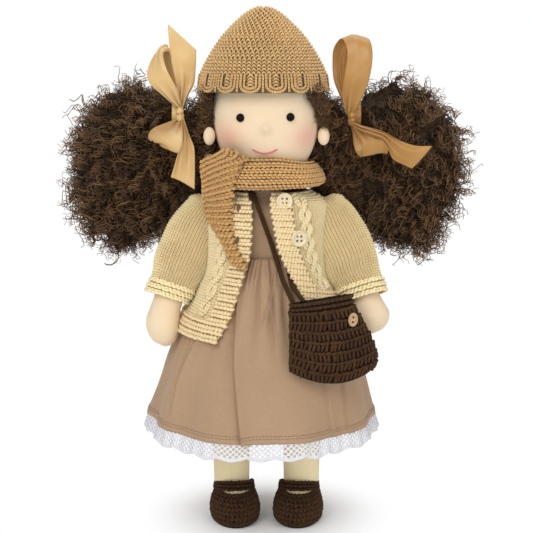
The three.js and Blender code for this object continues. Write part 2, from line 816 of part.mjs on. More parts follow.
function cardiganHalf(level, growth = 0) {
  const share = (cardiganTop - level) / cardiganLength;
  const row = readTable(cardiganShares, THREE.MathUtils.clamp(share, 0, 1));
  const own = [row[0] * cardiganHemWidth / 2, row[1] * cardiganHemDepth / 2];
  const beyond = Math.max(0, share - 1) * cardiganLength;
  const room = knitThickness + 2 * seatGap;
  const over = level > waistLevel ? torsoHalf(level, bodiceLayer) : skirtHalf(level);
  return [0, 1].map((k) => Math.max(own[k] + beyond * 0.4, over[k] + room) + growth);
}

// Front edges: rows of level share from the top, and reach of the edge across as shares of the
// shoulder width
const leftEdgeShares = [
  [0, -0.16], [0.1, -0.12], [0.45, -0.135], [0.6, -0.185], [0.75, -0.235], [0.9, -0.29], [1.1, -0.42],
];
const rightEdgeShares = [
  [0, 0.045], [0.13, 0.055], [0.27, 0.082], [0.4, 0.11], [0.5, 0.155], [0.6, 0.21], [0.8, 0.33],
];

function buildCardigan() {
  const columns = 30;
  const rows = 9;
  const sidePoint = (angle, level, growth) => {
    const [halfWidth, halfDepth] = cardiganHalf(level, growth);
    return new THREE.Vector3(halfWidth * Math.sin(angle), halfDepth * Math.cos(angle), level);
  };
  const grid = (growth) => Array.from({ length: rows + 1 }, (_, r) => {
    const fall = r / rows;
    return Array.from({ length: columns + 1 }, (__, c) => {
      const round = c / columns;
      const nearLeft = Math.pow(1 - round, 3);
      const nearRight = Math.pow(round, 3);
      const length = cardiganLength + nearLeft * leftFrontDrop - nearRight * rightFrontRise;
      const level = cardiganTop - fall * length;
      const share = fall * length / cardiganLength;
      const [halfWidth] = cardiganHalf(level);
      const leftEdge = readTable(leftEdgeShares, share)[0] * shoulderWidth;
      const rightEdge = readTable(rightEdgeShares, share)[0] * shoulderWidth;
      const start = -Math.PI - Math.asin(THREE.MathUtils.clamp(leftEdge / halfWidth, -1, 1));
      const end = Math.PI - Math.asin(THREE.MathUtils.clamp(rightEdge / halfWidth, -1, 1));
      return sidePoint(THREE.MathUtils.lerp(start, end, round), level, growth);
    });
  });
  const body = sheet(grid(0), grid(-knitThickness));
  const clearOfArms = [1, -1].map((sign) => placed(
    new THREE.BoxGeometry(cutOverrun, cardiganHemDepth * 2, cardiganLength * armholeShare),
    sign * (shoulderWidth / 2 + cutOverrun / 2), 0, cardiganTop - cardiganLength * armholeShare / 2,
  ));
  return addPiece('cardigan_body', cutBy(body, ...clearOfArms), materials.creamYarn);
}

// Arms: stuffed, with a mitten hand, inside a knitted sleeve. Rows give the share of the arm's
// length from the shoulder and the share of each width
function armProfile(share) {
  const armShares = [
    [0, 0.98, 0.6], [0.12, 1, 0.66], [0.45, 0.98, 0.66], [0.66, 0.9, 0.62], [0.76, 0.98, 0.72],
    [0.88, 1.12, 0.84], [0.96, 0.86, 0.62], [1, 0.4, 0.28],
  ];
  return readTable(armShares, share);
}

function armRings(shares, growthAt, bend) {
  return shares.map((share) => {
    const [across, deep] = armProfile(share);
    const growth = growthAt(share);
    const bent = Math.max(0, (share - wristShare) / (1 - wristShare)) ** 1.5;
    return ellipseRing(
      bend * bent, 0, -share * armLength,
      across * upperArmWidth / 2 + growth, deep * handDepth * 0.75 + growth, limbSides,
    );
  });
}

const wristShare = 0.5;
const sleeveTopShare = 0.9;
const sleeveDepthShare = 0.44;

function sleeveRings(growth) {
  const sleeveShares = [
    [0, sleeveTopShare, 0], [0.2, 1, 0], [0.5, 1, 0], [0.84, 0.86, 0], [0.9, 0, 0.98], [1, 0, 1],
  ];
  return sleeveShares.map(([share, sleeve, cuff]) => {
    const width = sleeve * sleeveWidth + cuff * cuffWidth;
    return ellipseRing(
      0, 0, -share * sleeveLength, width / 2 + growth, width * sleeveDepthShare + growth, limbSides,
    );
  });
}

function buildArm(side, sign, lean, forward, wristBend) {
  const shares = [0, 0.1, 0.3, 0.55, 0.7, 0.78, 0.86, 0.92, 0.97, 1];
  const shoulderReach = shoulderWidth / 2 - armRootInset;
  const shoulder = new THREE.Vector3(sign * shoulderReach, shoulderBehind, shoulderLevel - armRootDrop);
  const bend = -sign * wristBend;
  const pose = new THREE.Matrix4().makeTranslation(shoulder)
    .multiply(new THREE.Matrix4().makeRotationX(THREE.MathUtils.degToRad(-forward)))
    .multiply(new THREE.Matrix4().makeRotationY(THREE.MathUtils.degToRad(-sign * lean)));
  const outer = sleeveRings(0);
  const capRadius = sleeveWidth * sleeveTopShare / 2;
  const cap = [70, 40, 15].map((angle) => {
    const tilt = THREE.MathUtils.degToRad(angle);
    return ellipseRing(0, 0, capRadius * Math.sin(tilt) * 0.62, capRadius * Math.cos(tilt),
      sleeveWidth * sleeveTopShare * sleeveDepthShare * Math.cos(tilt), limbSides);
  });
  const sleeveOuter = loft([...cap, ...outer]).applyMatrix4(pose);
  const arm = loft(armRings(shares, () => 0, bend)).applyMatrix4(pose);
  const armRoom = loft([
    ellipseRing(0, 0, upperArmWidth / 4, upperArmWidth / 3, handDepth / 3, limbSides),
    ...armRings(shares, () => seatGap, bend),
  ]).applyMatrix4(pose);
  const bodySide = placed(
    new THREE.BoxGeometry(cutOverrun, cutOverrun * 4, cutOverrun * 8),
    sign * (shoulderWidth / 2 + seatGap - cutOverrun / 2), 0, shoulderLevel,
  );
  addPiece(`arm_${side}`, cutBy(arm, bodySide), materials.skin);
  const sideRoom = loft(levelsBetween(cardiganTop - cardiganLength, cardiganTop, 10).map(
    (level) => ellipseRing(0, 0, level, ...cardiganHalf(level, 3 * seatGap)),
  ));
  addPiece(`sleeve_${side}`, cutBy(sleeveOuter, armRoom, bodySide, sideRoom), materials.creamYarn);
}

// Scarf: one wrap round the neck and a tail that hangs over the left front
function scarfRing(z, growth) {
  return ellipseRing(scarfShift, 0, z, scarfWidth / 2 + growth, scarfDepth / 2 + growth, wrapSides);
}

function buildScarf() {
  const outerShares = [[0, -0.45], [0.12, -0.12], [0.35, 0], [0.7, 0], [0.9, -0.12], [1, -0.45]];
  const innerShares = [[0, -0.62], [0.12, -0.95], [0.5, -1], [0.9, -0.95], [1, -0.62]];
  const [outer, inner] = [outerShares, innerShares].map((wallShares) => wallShares.map(
    ([share, inset]) => scarfRing(scarfBase + share * scarfHeight, inset * scarfBulk),
  ));
  return addPiece('scarf_wrap', tubeWall(outer, inner), materials.tanYarn);
}

// Rows of drop share, of the reach from the top's place to the tip's, and of the width
const scarfTailShares = [
  [0, -0.08, 0.95], [0.12, -0.22, 0.82], [0.27, -0.34, 0.73], [0.39, -0.32, 0.65], [0.55, -0.09, 0.61],
  [0.7, 0.2, 0.58], [0.82, 0.47, 0.5], [0.92, 0.75, 0.34], [1, 1, 0.12],
];

function buildScarfTail() {
  const rows = 12;
  const columns = 6;
  const supportAt = (x, level) => {
    const inWrap = THREE.MathUtils.smoothstep(level, shoulderLevel - cardiganAboveShoulder, cardiganTop);
    const [halfWidth, halfDepth] = cardiganHalf(Math.min(level, cardiganTop - cardiganAboveShoulder));
    const out = Math.abs(x - scarfShift * inWrap);
    const wide = Math.max(THREE.MathUtils.lerp(halfWidth, scarfWidth / 2 + seatGap, inWrap), out * 1.08);
    const deep = Math.max(THREE.MathUtils.lerp(halfDepth, scarfDepth / 2 + seatGap, inWrap), halfDepth);
    return deep * Math.sqrt(Math.max(0.12, 1 - (out / wide) ** 2));
  };
  const grid = (outward) => Array.from({ length: rows + 1 }, (_, r) => {
    const drop = r / rows;
    const level = scarfTop - drop * scarfTailLength;
    const [shift, width] = readTable(scarfTailShares, drop);
    const middle = THREE.MathUtils.lerp(scarfTailReach, scarfTailTipReach, shift);
    return Array.from({ length: columns + 1 }, (__, c) => {
      const x = -middle + (c / columns - 0.5) * width * scarfTailWidth;
      return new THREE.Vector3(x, -supportAt(x, level) - 2 * seatGap - outward, level);
    });
  });
  return addPiece('scarf_tail', sheet(grid(scarfThickness), grid(0)), materials.tanYarn);
}

// Buttons: a disc with a raised rim and four holes, flat on the right front
function buildButton(name, reach, level) {
  const profile = [
    [0, 0], [buttonRadius * 0.9, 0], [buttonRadius, buttonThickness / 3], [buttonRadius, buttonThickness],
    [buttonRadius - buttonRimWidth / 2, buttonThickness + buttonRimHeight],
    [buttonRadius - buttonRimWidth, buttonThickness], [0, buttonThickness],
  ].map(([r, z]) => new THREE.Vector2(r, z));
  const disc = new THREE.LatheGeometry(profile, limbSides).rotateX(Math.PI / 2);
  const holes = [[1, 1], [1, -1], [-1, 1], [-1, -1]].map(([u, v]) => placed(
    new THREE.CylinderGeometry(buttonHoleRadius, buttonHoleRadius, buttonThickness * 4, 6)
      .rotateX(Math.PI / 2),
    u * buttonHoleSpacing / 2, v * buttonHoleSpacing / 2, 0,
  ));
  const shape = cutBy(disc, ...holes);
  const [halfWidth, halfDepth] = cardiganHalf(level);
  const depth = -halfDepth * Math.sqrt(1 - (reach / halfWidth) ** 2);
  const facing = new THREE.Vector3(reach / halfWidth ** 2, depth / halfDepth ** 2, 0).normalize();
  const [, halfDepthAbove] = cardiganHalf(level + buttonRadius);
  const [, halfDepthBelow] = cardiganHalf(level - buttonRadius);
  facing.z = (halfDepthBelow - halfDepthAbove) / (2 * buttonRadius);
  facing.normalize();
  const button = addPiece(name, shape, materials.button);
  button.quaternion.setFromUnitVectors(new THREE.Vector3(0, 0, 1), facing);
  button.position.set(reach, depth, level).addScaledVector(facing, 2 * seatGap);
  return button;
}

// Bag: a crocheted pouch, open at the top, that curls round the doll's side
const bagShares = [
  [0, 0.72, 0.5], [0.05, 0.95, 0.85], [0.2, 1, 1], [0.55, 0.6, 0.9], [0.85, 0.12, 0.7], [1, 0, 0.6],
];

function bagRing(share, inset, lift = 0) {
  const [spread, bulge] = readTable(bagShares, share);
  const width = THREE.MathUtils.lerp(bagTopWidth, bagBottomWidth, spread);
  const depth = THREE.MathUtils.lerp(bagMouthDepth, bagBottomDepth, bulge);
  const middle = bagInnerEnd + width / 2;
  return turnSteps(24).map((angle) => {
    const along = Math.sign(Math.cos(angle)) * Math.abs(Math.cos(angle)) ** 0.55;
    const x = middle + along * (width / 2 - inset);
    const round = (x - bagInnerEnd) / bagBottomWidth;
    const back = bagCurl * round * round;
    const rise = bagRimRise * round * share - bagRimRise * 0.9 * Math.sin(round * Math.PI) * (1 - share);
    const fall = (1 - share) * bagHeight;
    return new THREE.Vector3(
      x, -bagAhead + back + Math.sin(angle) * (depth / 2 - inset), bagRimLevel + rise - fall + lift,
    );
  });
}

function buildBag() {
  const outerShares = [0, 0.05, 0.14, 0.3, 0.5, 0.7, 0.86, 1];
  const outer = outerShares.map((share) => bagRing(share, 0));
  const innerShares = [0.05, 0.14, 0.3, 0.5, 0.7, 0.86, 1];
  const inner = innerShares.map((share) => {
    const lift = share === 1 ? cutOverrun / 8 : bagWall / 3;
    return bagRing(share, bagWall, lift);
  });
  return addPiece('bag_body', cutBy(loft(outer), loft(inner)), materials.brownYarn);
}

function buildBagButton() {
  const disc = new THREE.CylinderGeometry(bagButtonWidth / 2, bagButtonWidth / 2, bagButtonThickness, 16)
    .scale(1, 1, bagButtonHeight / bagButtonWidth);
  const round = (bagButtonReach - bagInnerEnd) / bagBottomWidth;
  const ahead = bagAhead - bagCurl * round * round + bagBottomDepth / 2 + bagButtonThickness / 2;
  const holes = [-1, 1].map((end) => placed(
    new THREE.CylinderGeometry(buttonHoleRadius, buttonHoleRadius, bagButtonThickness * 3, 6),
    0, 0, end * bagButtonHeight / 5,
  ));
  const button = addPiece('bag_button', cutBy(disc, ...holes), materials.wood);
  button.position.set(bagButtonReach, -ahead, bagRimLevel - bagButtonBelowRim);
  return button;
}

// Bag strap: a cord from the bag's inner corner up the bodice, round the neck and down again
// under the right front. Its route is a list of places along the real one.
const strapRoute = [
  [18.5, -60, 174.6], [15.5, -52, 180], [11.5, -43, 188], [8, -35.5, 198], [3.5, -31.5, 212],
  [-1.5, -30.5, 226], [-6, -28, 238], [-10.5, -21, 248], [-18.5, -9, 252.5], [-20, 4, 253],
  [-12, 17.5, 253], [0, 21.5, 253], [12, 17.5, 253], [20, 4, 253], [18.5, -9, 251],
  [13.5, -18, 246.5], [14, -23, 239.5], [14, -27.2, 231], [14.3, -28.4, 221], [15, -27.8, 208],
  [15.5, -30.4, 198], [16.3, -34.4, 190.5], [18.6, -40.5, 184], [22.5, -50, 178.5], [26, -57.5, 175.5],
];

function buildStrap() {
  const curve = new THREE.CatmullRomCurve3(strapRoute.map(([x, y, z]) => new THREE.Vector3(x, y, z)));
  const section = new THREE.Shape();
  turnSteps(8).forEach((angle, i) => {
    const x = Math.cos(angle) * strapDiameter / 2;
    const y = Math.sin(angle) * strapDiameter / 2;
    if (i === 0) section.moveTo(x, y);
    else section.lineTo(x, y);
  });
  const cord = new THREE.ExtrudeGeometry(section, { steps: 40, extrudePath: curve, bevelEnabled: false });
  return addPiece('bag_strap', cord, materials.brownYarn);
}

buildTorso();
buildBodice();
buildSkirt();
buildLace();
for (const [side, sign] of [['left', -1], ['right', 1]]) {
  buildLeg(side, sign * legSpacing / 2);
  buildShoe(side, sign * legSpacing / 2);
}
buildHead();
for (const [side, sign] of [['left', -1], ['right', 1]]) {
  buildEye(side, sign);
  buildEar(side, sign);
  buildBunch(side, sign);
}
buildHair();
buildHat();
const leftKnot = knotAt(-1);
const rightKnot = knotAt(1);
buildBow('left', -1, [
  ['bow_upper_loop', bowLoop(leftKnot, {
    length: leftUpperLoopLength, depth: leftUpperLoopDepth, roll: -14, yaw: 34, pitch: -2, ahead: stripStep,
  })],
  ['bow_upper_tail', bowTail(leftKnot, {
    length: leftUpperTailLength, roll: 3, yaw: 0, pitch: -24, bend: 0, ahead: -stripStep,
  })],
  ['bow_lower_loop', bowLoop(leftKnot, {
    length: leftLowerLoopLength, depth: leftLowerLoopDepth, roll: -112, yaw: 10, pitch: -6, ahead: 0,
  })],
  ['bow_lower_tail', bowTail(leftKnot, {
    length: leftLowerTailLength, roll: 176, yaw: 0, pitch: 8, bend: -tailBend,
  })],
]);
buildBow('right', 1, [
  ['bow_upper_loop', bowLoop(rightKnot, {
    length: upperLoopLength, depth: upperLoopDepth, roll: 3, yaw: 22, pitch: 0,
  })],
  ['bow_lower_loop', bowLoop(rightKnot, {
    length: lowerLoopLength, depth: lowerLoopDepth, roll: 150, yaw: 24, pitch: 24, ahead: stripStep,
  })],
  ['bow_tail', bowTail(rightKnot, {
    length: rightTailLength, roll: 110, yaw: 0, pitch: -4, bend: tailBend, ahead: -stripStep,
  })],
]);
buildCardigan();
buildArm('left', -1, 25, 12, leftWristBend);
buildArm('right', 1, 24, 18, rightWristBend);
buildScarf();
buildScarfTail();
buildButton('cardigan_button_upper', upperButtonReach, upperButtonLevel);
buildButton('cardigan_button_lower', lowerButtonReach, lowerButtonLevel);
buildBag();
buildBagButton();
buildStrap();

doll.updateMatrixWorld(true);
const footprint = new THREE.Box3().setFromObject(doll, true).getCenter(new THREE.Vector3());
doll.position.set(-footprint.x, -footprint.y, 0);

export default doll;
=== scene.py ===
"""Looks of a dressed rag doll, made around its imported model: jersey skin, curled mohair hair,
knitted and crocheted yarn, woven cotton, lace and satin ribbon."""

import json
import math
from contextlib import contextmanager

import bmesh
import bpy
import numpy as np
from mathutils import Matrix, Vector
from mathutils.bvhtree import BVHTree

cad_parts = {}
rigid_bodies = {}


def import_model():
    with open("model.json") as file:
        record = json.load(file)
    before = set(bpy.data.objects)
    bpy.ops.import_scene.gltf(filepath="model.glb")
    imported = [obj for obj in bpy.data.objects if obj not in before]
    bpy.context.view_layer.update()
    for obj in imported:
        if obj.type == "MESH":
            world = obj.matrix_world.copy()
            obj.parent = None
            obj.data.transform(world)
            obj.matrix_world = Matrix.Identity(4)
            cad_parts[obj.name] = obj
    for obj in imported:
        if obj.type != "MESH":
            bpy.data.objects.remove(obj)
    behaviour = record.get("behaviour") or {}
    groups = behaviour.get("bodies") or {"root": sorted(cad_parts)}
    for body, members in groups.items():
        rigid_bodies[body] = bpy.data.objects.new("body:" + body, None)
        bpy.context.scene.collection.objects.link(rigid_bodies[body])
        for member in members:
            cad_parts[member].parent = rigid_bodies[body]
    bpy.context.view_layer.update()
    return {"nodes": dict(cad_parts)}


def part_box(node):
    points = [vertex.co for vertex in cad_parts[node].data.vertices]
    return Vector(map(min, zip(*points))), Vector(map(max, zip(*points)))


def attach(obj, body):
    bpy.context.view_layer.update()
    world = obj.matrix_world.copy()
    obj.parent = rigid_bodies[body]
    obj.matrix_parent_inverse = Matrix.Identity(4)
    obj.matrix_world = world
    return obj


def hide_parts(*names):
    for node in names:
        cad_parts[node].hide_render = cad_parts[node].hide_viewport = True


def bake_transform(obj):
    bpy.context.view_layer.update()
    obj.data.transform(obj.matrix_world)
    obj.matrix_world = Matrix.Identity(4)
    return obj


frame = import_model()

bl_info = {
    "name": "Dressed rag doll",
    "version": (1, 0, 0),
    "blender": (4, 5, 0),
    "location": "View3D > Sidebar > Rag doll",
    "description": "Makes the fabrics, yarn, hair and trims of a dressed rag doll",
    "category": "Object",
}

MM = 0.001
TURN = 2 * math.pi

# Left and right are the photograph's, as in the names of the solids
SIDES = (("left", -1), ("right", 1))

# The photograph's camera, in metres and degrees, and plain white
CAMERA_PLACE = (0, -0.950, 0.345)
CAMERA_DOWN = 9.23
CAMERA_LENS, CAMERA_SENSOR = 87.537, 36
WHITE = (1, 1, 1, 1)

# Lamps: name, place, size and power
LAMPS = (
    ("key", (-0.55, -1.1, 1.15), 0.9, 9.3), ("fill", (0.95, -0.95, 0.65), 0.9, 3.6),
    ("top", (0.0, 0.25, 1.5), 1.0, 7.0), ("back", (0.0, 1.2, 0.7), 0.8, 3.0),
    ("low", (-0.1, -1.4, 0.12), 0.6, 2.4),
)

# Places and sizes of the solids, in millimetres
TORSO_HALF, SKIRT_HALF, CARDIGAN_HALF = (38, 25), (84, 69), (66, 54)
WAIST = 200.0
TORSO_BOTTOM = 161.95
TORSO_HEIGHT = 80.0
HEAD_MIDDLE = 302.95
HEAD_HALF = (39.5, 37.5, 50.0)
HEAD = np.array([0, 0, HEAD_MIDDLE])
HEM = 75.0
CARDIGAN_TOP = 247.95
CARDIGAN_LENGTH = 98.0
SHOULDER_WIDTH = 92.0
SHOULDER = (44.0, 2.0, 231.95)
SLEEVE_LENGTH = 70
HAT_MIDDLE = (-2.4, 2.0)
HAT_RIM = 319.45
HAT_SIZE = (94.0, 60.0)
SCARF_MIDDLE = (-1.2, 0.0)
SCARF_HALF = (43, 39.5)
SCARF_BASE = 251.35
SCARF_HEIGHT = 22.5
TIE = (65.0, 2.0, 302.95)
LEG_REACH = 26.5
SHOE_REACH = LEG_REACH - 1.7
BAG_MIDDLE = (47, -57)
BAG_EDGE, BAG_DEPTH_MIDDLE, BAG_RIM, BAG_HEIGHT = 17, -59, 173, 48
BAG_WIDTHS, BAG_DEPTHS = (43, 61), (9, 13)
KNOTS = {"left": (-62.2, -11.6, 303.7), "right": (61.5, -11.6, 300.9)}
EYES = {"left": (-18.4, 302.0), "right": (16.8, 302.5)}

# The bend of the body, from torso to lap, in metres
BEND = ("torso", "lap", (0, 0, 0.180), (0, 0, 0.136))

# How far down the cardigan its armholes end, how far round it its cables run, and the length
# in which a cable's strands turn once about each other
ARMHOLE_FALL = 0.56
CABLES, CABLE_TURN = (0.086, 0.914), 24

# Locks of hair: how many kinds, the strands of each, and each strand's rings and sides
CURL_KINDS = 8
LOCK_STRANDS, LOCK_POINTS, LOCK_SIDES = 3, 11, 3

# How near a ribbon, and how far before one, a lock may not come, in metres
NEAR_RIBBON, BEFORE_RIBBON = 0.0009, 0.04

# Tables of the solids' shapes, each row starting with its share of the way
TORSO_SHARES = [
    [0, 0.74, 0.76], [0.08, 0.9, 0.95], [0.3, 0.92, 1], [0.5, 0.77, 0.92],
    [0.72, 0.92, 0.98], [0.88, 1, 0.92], [0.96, 0.88, 0.76], [1, 0.45, 0.67],
]
SKIRT_SHARES = [
    [0, 0.4, 0.42], [0.08, 0.49, 0.49], [0.16, 0.56, 0.56], [0.28, 0.63, 0.64],
    [0.42, 0.73, 0.72], [0.58, 0.83, 0.81], [0.77, 0.9, 0.9], [1, 1, 1],
]
CARDIGAN_SHARES = [
    [0, 0.45, 0.5], [0.05, 0.61, 0.56], [0.1, 0.69, 0.6], [0.24, 0.695, 0.66],
    [0.45, 0.7, 0.7], [0.6, 0.71, 0.79], [0.8, 0.83, 0.89], [1, 1, 1],
]
LEFT_EDGE_SHARES = [
    [0, -0.16], [0.1, -0.12], [0.45, -0.135], [0.6, -0.185], [0.75, -0.235], [0.9, -0.29], [1.1, -0.42],
]
RIGHT_EDGE_SHARES = [
    [0, 0.045], [0.13, 0.055], [0.27, 0.082], [0.4, 0.11], [0.5, 0.155], [0.6, 0.21], [0.8, 0.33],
]
HAT_SHARES = [
    [0, 1], [0.08, 0.985], [0.21, 0.95], [0.45, 0.785],
    [0.66, 0.6], [0.86, 0.355], [0.96, 0.19], [1, 0.06],
]
SLEEVE_SHARES = [[0, 32.4], [0.2, 36], [0.5, 36], [0.84, 30.4], [0.9, 31], [1, 31]]
TAIL_TOP, TAIL_LENGTH = 279.1, 82.9
TAIL_EDGES = [
    [0.000, -36.7, -24.8], [0.013, -40.5, -20.6], [0.050, -44.4, -15.0], [0.097, -45.9, -17.5],
    [0.139, -46.7, -19.6], [0.215, -46.4, -22.1], [0.291, -45.8, -23.5], [0.410, -45.7, -24.4],
    [0.538, -44.0, -25.0], [0.645, -40.5, -24.5], [0.752, -34.2, -22.9], [0.860, -29.3, -20.1],
    [0.933, -26.9, -16.6], [0.968, -24.8, -15.0], [1.000, -18.8, -14.2],
]
BAG_SHARES = [
    [0, 0.72, 0.5], [0.05, 0.95, 0.85], [0.2, 1, 1], [0.55, 0.6, 0.9], [0.85, 0.12, 0.7], [1, 0, 0.6],
]
STRAP_ROUTE = [
    [18.5, -60, 174.6], [15.5, -52, 180], [11.5, -43, 188], [8, -35.5, 198], [3.5, -31.5, 212],
    [-1.5, -30.5, 226], [-6, -28, 238], [-10.5, -21, 248], [-18.5, -9, 252.5], [-20, 4, 253],
    [-12, 17.5, 253], [0, 21.5, 253], [12, 17.5, 253], [20, 4, 253], [18.5, -9, 251],
    [13.5, -18, 246.5], [14, -23, 239.5], [14, -27.2, 231], [14.3, -28.4, 221], [15, -27.8, 208],
    [15.5, -30.4, 198], [16.3, -34.4, 190.5], [18.6, -40.5, 184], [22.5, -50, 178.5], [26, -57.5, 175.5],
]
SHOE_RINGS = [
    [0, 2.2, 16.6, -36.2, 14.6], [0.12, 5, 17.7, -37.6, 15.4], [0.3, 9.2, 18, -36.8, 15.8],
    [0.5, 13.4, 17.4, -34, 15.8], [0.7, 17, 16.2, -29.6, 15.4], [0.86, 19.4, 14.9, -24.8, 15],
    [1, 20.4, 13.7, -20.6, 14.6],
]
HAIRLINES = {
    "left": [[-35.5, 324, -23], [-38.5, 314, -19], [-39.6, 304, -13], [-38.6, 292, -10]],
    "right": [[25, 326, -31], [28.5, 318, -29], [33.5, 309, -22], [36.5, 300, -16], [37.8, 291, -11]],
}

# Ribbons of the bows: at each place along one, its two edges
BOWS = {
    "left": {
        "upper_tail": [
            [-64.5, -10, 307.9, -60.2, -10, 307.9], [-64.4, -9, 319.3, -56.5, -9, 317.2],
            [-66.5, -8, 330.7, -52.3, -6, 325.0], [-68.7, -6, 342.1, -51.2, -4, 336.4],
            [-70.1, -4, 354.9, -50.9, -3, 343.5], [-70.8, -3, 367.6, -50.8, -3, 349.2]],
        "upper_loop": [
            [-64.0, -12, 308.0, -60.7, -13, 310.9], [-74.1, -14, 317.4, -63.0, -19, 319.6],
            [-83.4, -13, 325.8, -67.1, -21, 328.1], [-85.4, -10, 332.9, -69.9, -20, 333.7],
            [-83.0, -7, 341.4, -72.2, -17, 340.0], [-78.2, -3, 349.2, -73.8, -13, 347.7],
            [-74.8, 0, 352.1, -69.9, -8, 349.2], [-77.1, 1, 345.6, -66.7, -4, 342.1],
            [-77.2, 0, 334.9, -63.2, -4, 332.1], [-71.3, -3, 322.1, -59.6, -5, 319.2],
            [-63.9, -8, 310.7, -59.6, -8, 309.3]],
        "lower_loop": [
            [-63.7, -12, 300.9, -60.8, -13, 298.1], [-72.1, -16, 297.8, -59.9, -18, 288.3],
            [-81.3, -18, 293.7, -63.0, -21, 276.7], [-84.5, -15, 289.6, -69.9, -19, 278.0],
            [-84.6, -10, 285.7, -76.0, -14, 280.5], [-79.5, -6, 287.6, -72.1, -9, 281.3],
            [-71.5, -5, 291.9, -64.9, -7, 286.2], [-63.9, -9, 300.0, -60.3, -9, 297.1]],
        "lower_tail": [
            [-63.0, -12, 300.9, -59.4, -12, 300.9], [-61.5, -15, 291.0, -55.8, -14, 289.5],
            [-62.9, -17, 280.4, -52.2, -15, 280.2], [-65.9, -16, 268.8, -51.7, -14, 267.9],
            [-69.2, -13, 258.4, -52.2, -12, 249.6]]},
    "right": {
        "upper_loop": [
            [57.6, -12, 303.0, 61.5, -13, 302.3], [54.3, -16, 318.1, 67.4, -18, 313.9],
            [55.4, -19, 331.6, 72.7, -21, 328.1], [57.5, -18, 344.9, 75.1, -20, 345.6],
            [55.9, -14, 354.1, 73.6, -15, 355.4], [53.3, -8, 357.6, 71.1, -9, 358.3],
            [48.6, -3, 350.6, 64.4, -4, 352.0], [47.8, 0, 342.1, 60.4, -1, 343.5],
            [48.9, -1, 327.8, 60.5, -1, 327.8], [54.6, -5, 313.5, 61.2, -5, 312.1],
            [57.4, -9, 305.0, 61.7, -9, 303.6]],
        "lower_loop": [
            [60.1, -12, 299.4, 62.2, -13, 298.1], [65.4, -20, 290.9, 75.4, -20, 289.9],
            [68.1, -23, 285.1, 85.2, -24, 285.1], [68.7, -22, 279.7, 86.8, -23, 280.1],
            [68.1, -16, 273.5, 87.0, -17, 275.0], [64.8, -10, 276.3, 85.1, -10, 277.0],
            [63.2, -7, 282.6, 80.9, -7, 283.3], [62.4, -7, 289.8, 72.1, -7, 289.8],
            [60.7, -9, 296.4, 63.2, -9, 295.7]],
        "tail": [
            [59.9, -15, 298.9, 60.6, -16, 296.1], [68.2, -20, 295.9, 66.8, -21, 292.1],
            [76.6, -23, 293.9, 74.4, -24, 289.0], [84.4, -24, 291.2, 82.2, -25, 285.9],
            [91.7, -22, 287.1, 86.8, -23, 279.4], [99.9, -20, 283.4, 90.6, -21, 272.1],
            [108.0, -18, 281.2, 97.4, -19, 268.3], [119.0, -16, 281.0, 104.9, -16, 264.8]]},
}


def linear(hex_colour):
    """An sRGB hex value as linear red, green and blue."""
    parts = [int(hex_colour[i:i + 2], 16) / 255 for i in (1, 3, 5)]
    return tuple(c / 12.92 if c <= 0.04045 else ((c + 0.055) / 1.055) ** 2.4 for c in parts)


def colour_property(name, hex_colour, description):
    return bpy.props.FloatVectorProperty(
        name=name, description=description, subtype="COLOR", size=3, min=0, max=1,
        default=linear(hex_colour))


class DollColours(bpy.types.PropertyGroup):
    skin: colour_property("Skin", "#F1DDBE", "Pale cotton jersey of head, hands and ears")
    blush: colour_property("Blush", "#EE9F8C", "Powdered pink of the cheeks")
    stocking: colour_property("Legs", "#FFF2C6", "Straw jersey of the legs")
    hair: colour_property("Hair", "#26190F", "Dark brown mohair")
    hair_tip: colour_property("Hair tips", "#7E5C38", "Lighter tips of the curls")
    tan_yarn: colour_property("Hat and scarf", "#F0C583", "Tan wool")
    cream_yarn: colour_property("Cardigan", "#FFEFC4", "Cream wool")
    brown_yarn: colour_property("Shoes and bag", "#402914", "Dark brown crochet yarn")
    dress: colour_property("Dress", "#B09173", "Light brown woven cotton")
    lace: colour_property("Lace", "#EAE9EE", "White cotton lace")
    satin: colour_property("Ribbon", "#BD8E48", "Gold satin ribbon")
    pale_satin: colour_property("Left ribbon", "#E8C68A", "Paler gold satin of the left bow")
    mouth: colour_property("Mouth", "#DE6F80", "Pink embroidery thread")
    button: colour_property("Buttons", "#F3E2BC", "Cream polyester")
    wood: colour_property("Bag button", "#C4A57A", "Pale sanded wood")


def length_property(name, description, millimetres):
    return bpy.props.FloatProperty(
        name=name, description=description, default=millimetres * MM, unit="LENGTH")


class DollSizes(bpy.types.PropertyGroup):
    hat_stitch: length_property("Hat stitch", "Width of one stitch of the hat", 3.56)
    hat_row: length_property("Hat row", "Height of one row of the hat", 2.55)
    cardigan_stitch: length_property("Cardigan stitch", "Width of one stitch of the cardigan", 2.4)
    cardigan_row: length_property("Cardigan row", "Height of one row of the cardigan", 2.1)
    ribbon: length_property("Ribbon width", "Width of the satin ribbon", 19)
    curls: bpy.props.IntProperty(
        name="Locks", description="Locks of hair on each bunch", default=1240, min=100, max=4000)
    curl: length_property("Lock size", "Length of one lock of hair", 18)


def sizes():
    return bpy.context.scene.doll_sizes


def colour(name):
    return tuple(getattr(bpy.context.scene.doll_colours, name)) + (1.0,)


def tinted(base, *shares):
    """A colour times three shares, or times one share for all its channels."""
    shares = shares if len(shares) == 3 else shares * 3
    return tuple(min(1, c * k) for c, k in zip(base, shares)) + (1.0,)


# Numbers and grids

def ring(count):
    """Shares of a full turn, evenly spaced."""
    return np.arange(count) / count


def grid(rows, columns):
    """The row's number and the column's number at each point of a grid."""
    return np.broadcast_arrays(np.asarray(rows)[:, None], np.asarray(columns)[None])


def run_of(line):
    """How far along a line each of its points lies."""
    return np.concatenate([[0], np.cumsum(np.linalg.norm(np.diff(line, axis=0), axis=1))])


def drawn_in(points, middle, share):
    """The same points, nearer to an upright axis."""
    points = points.copy()
    points[..., :2] = (points[..., :2] - middle) * share + middle
    return points


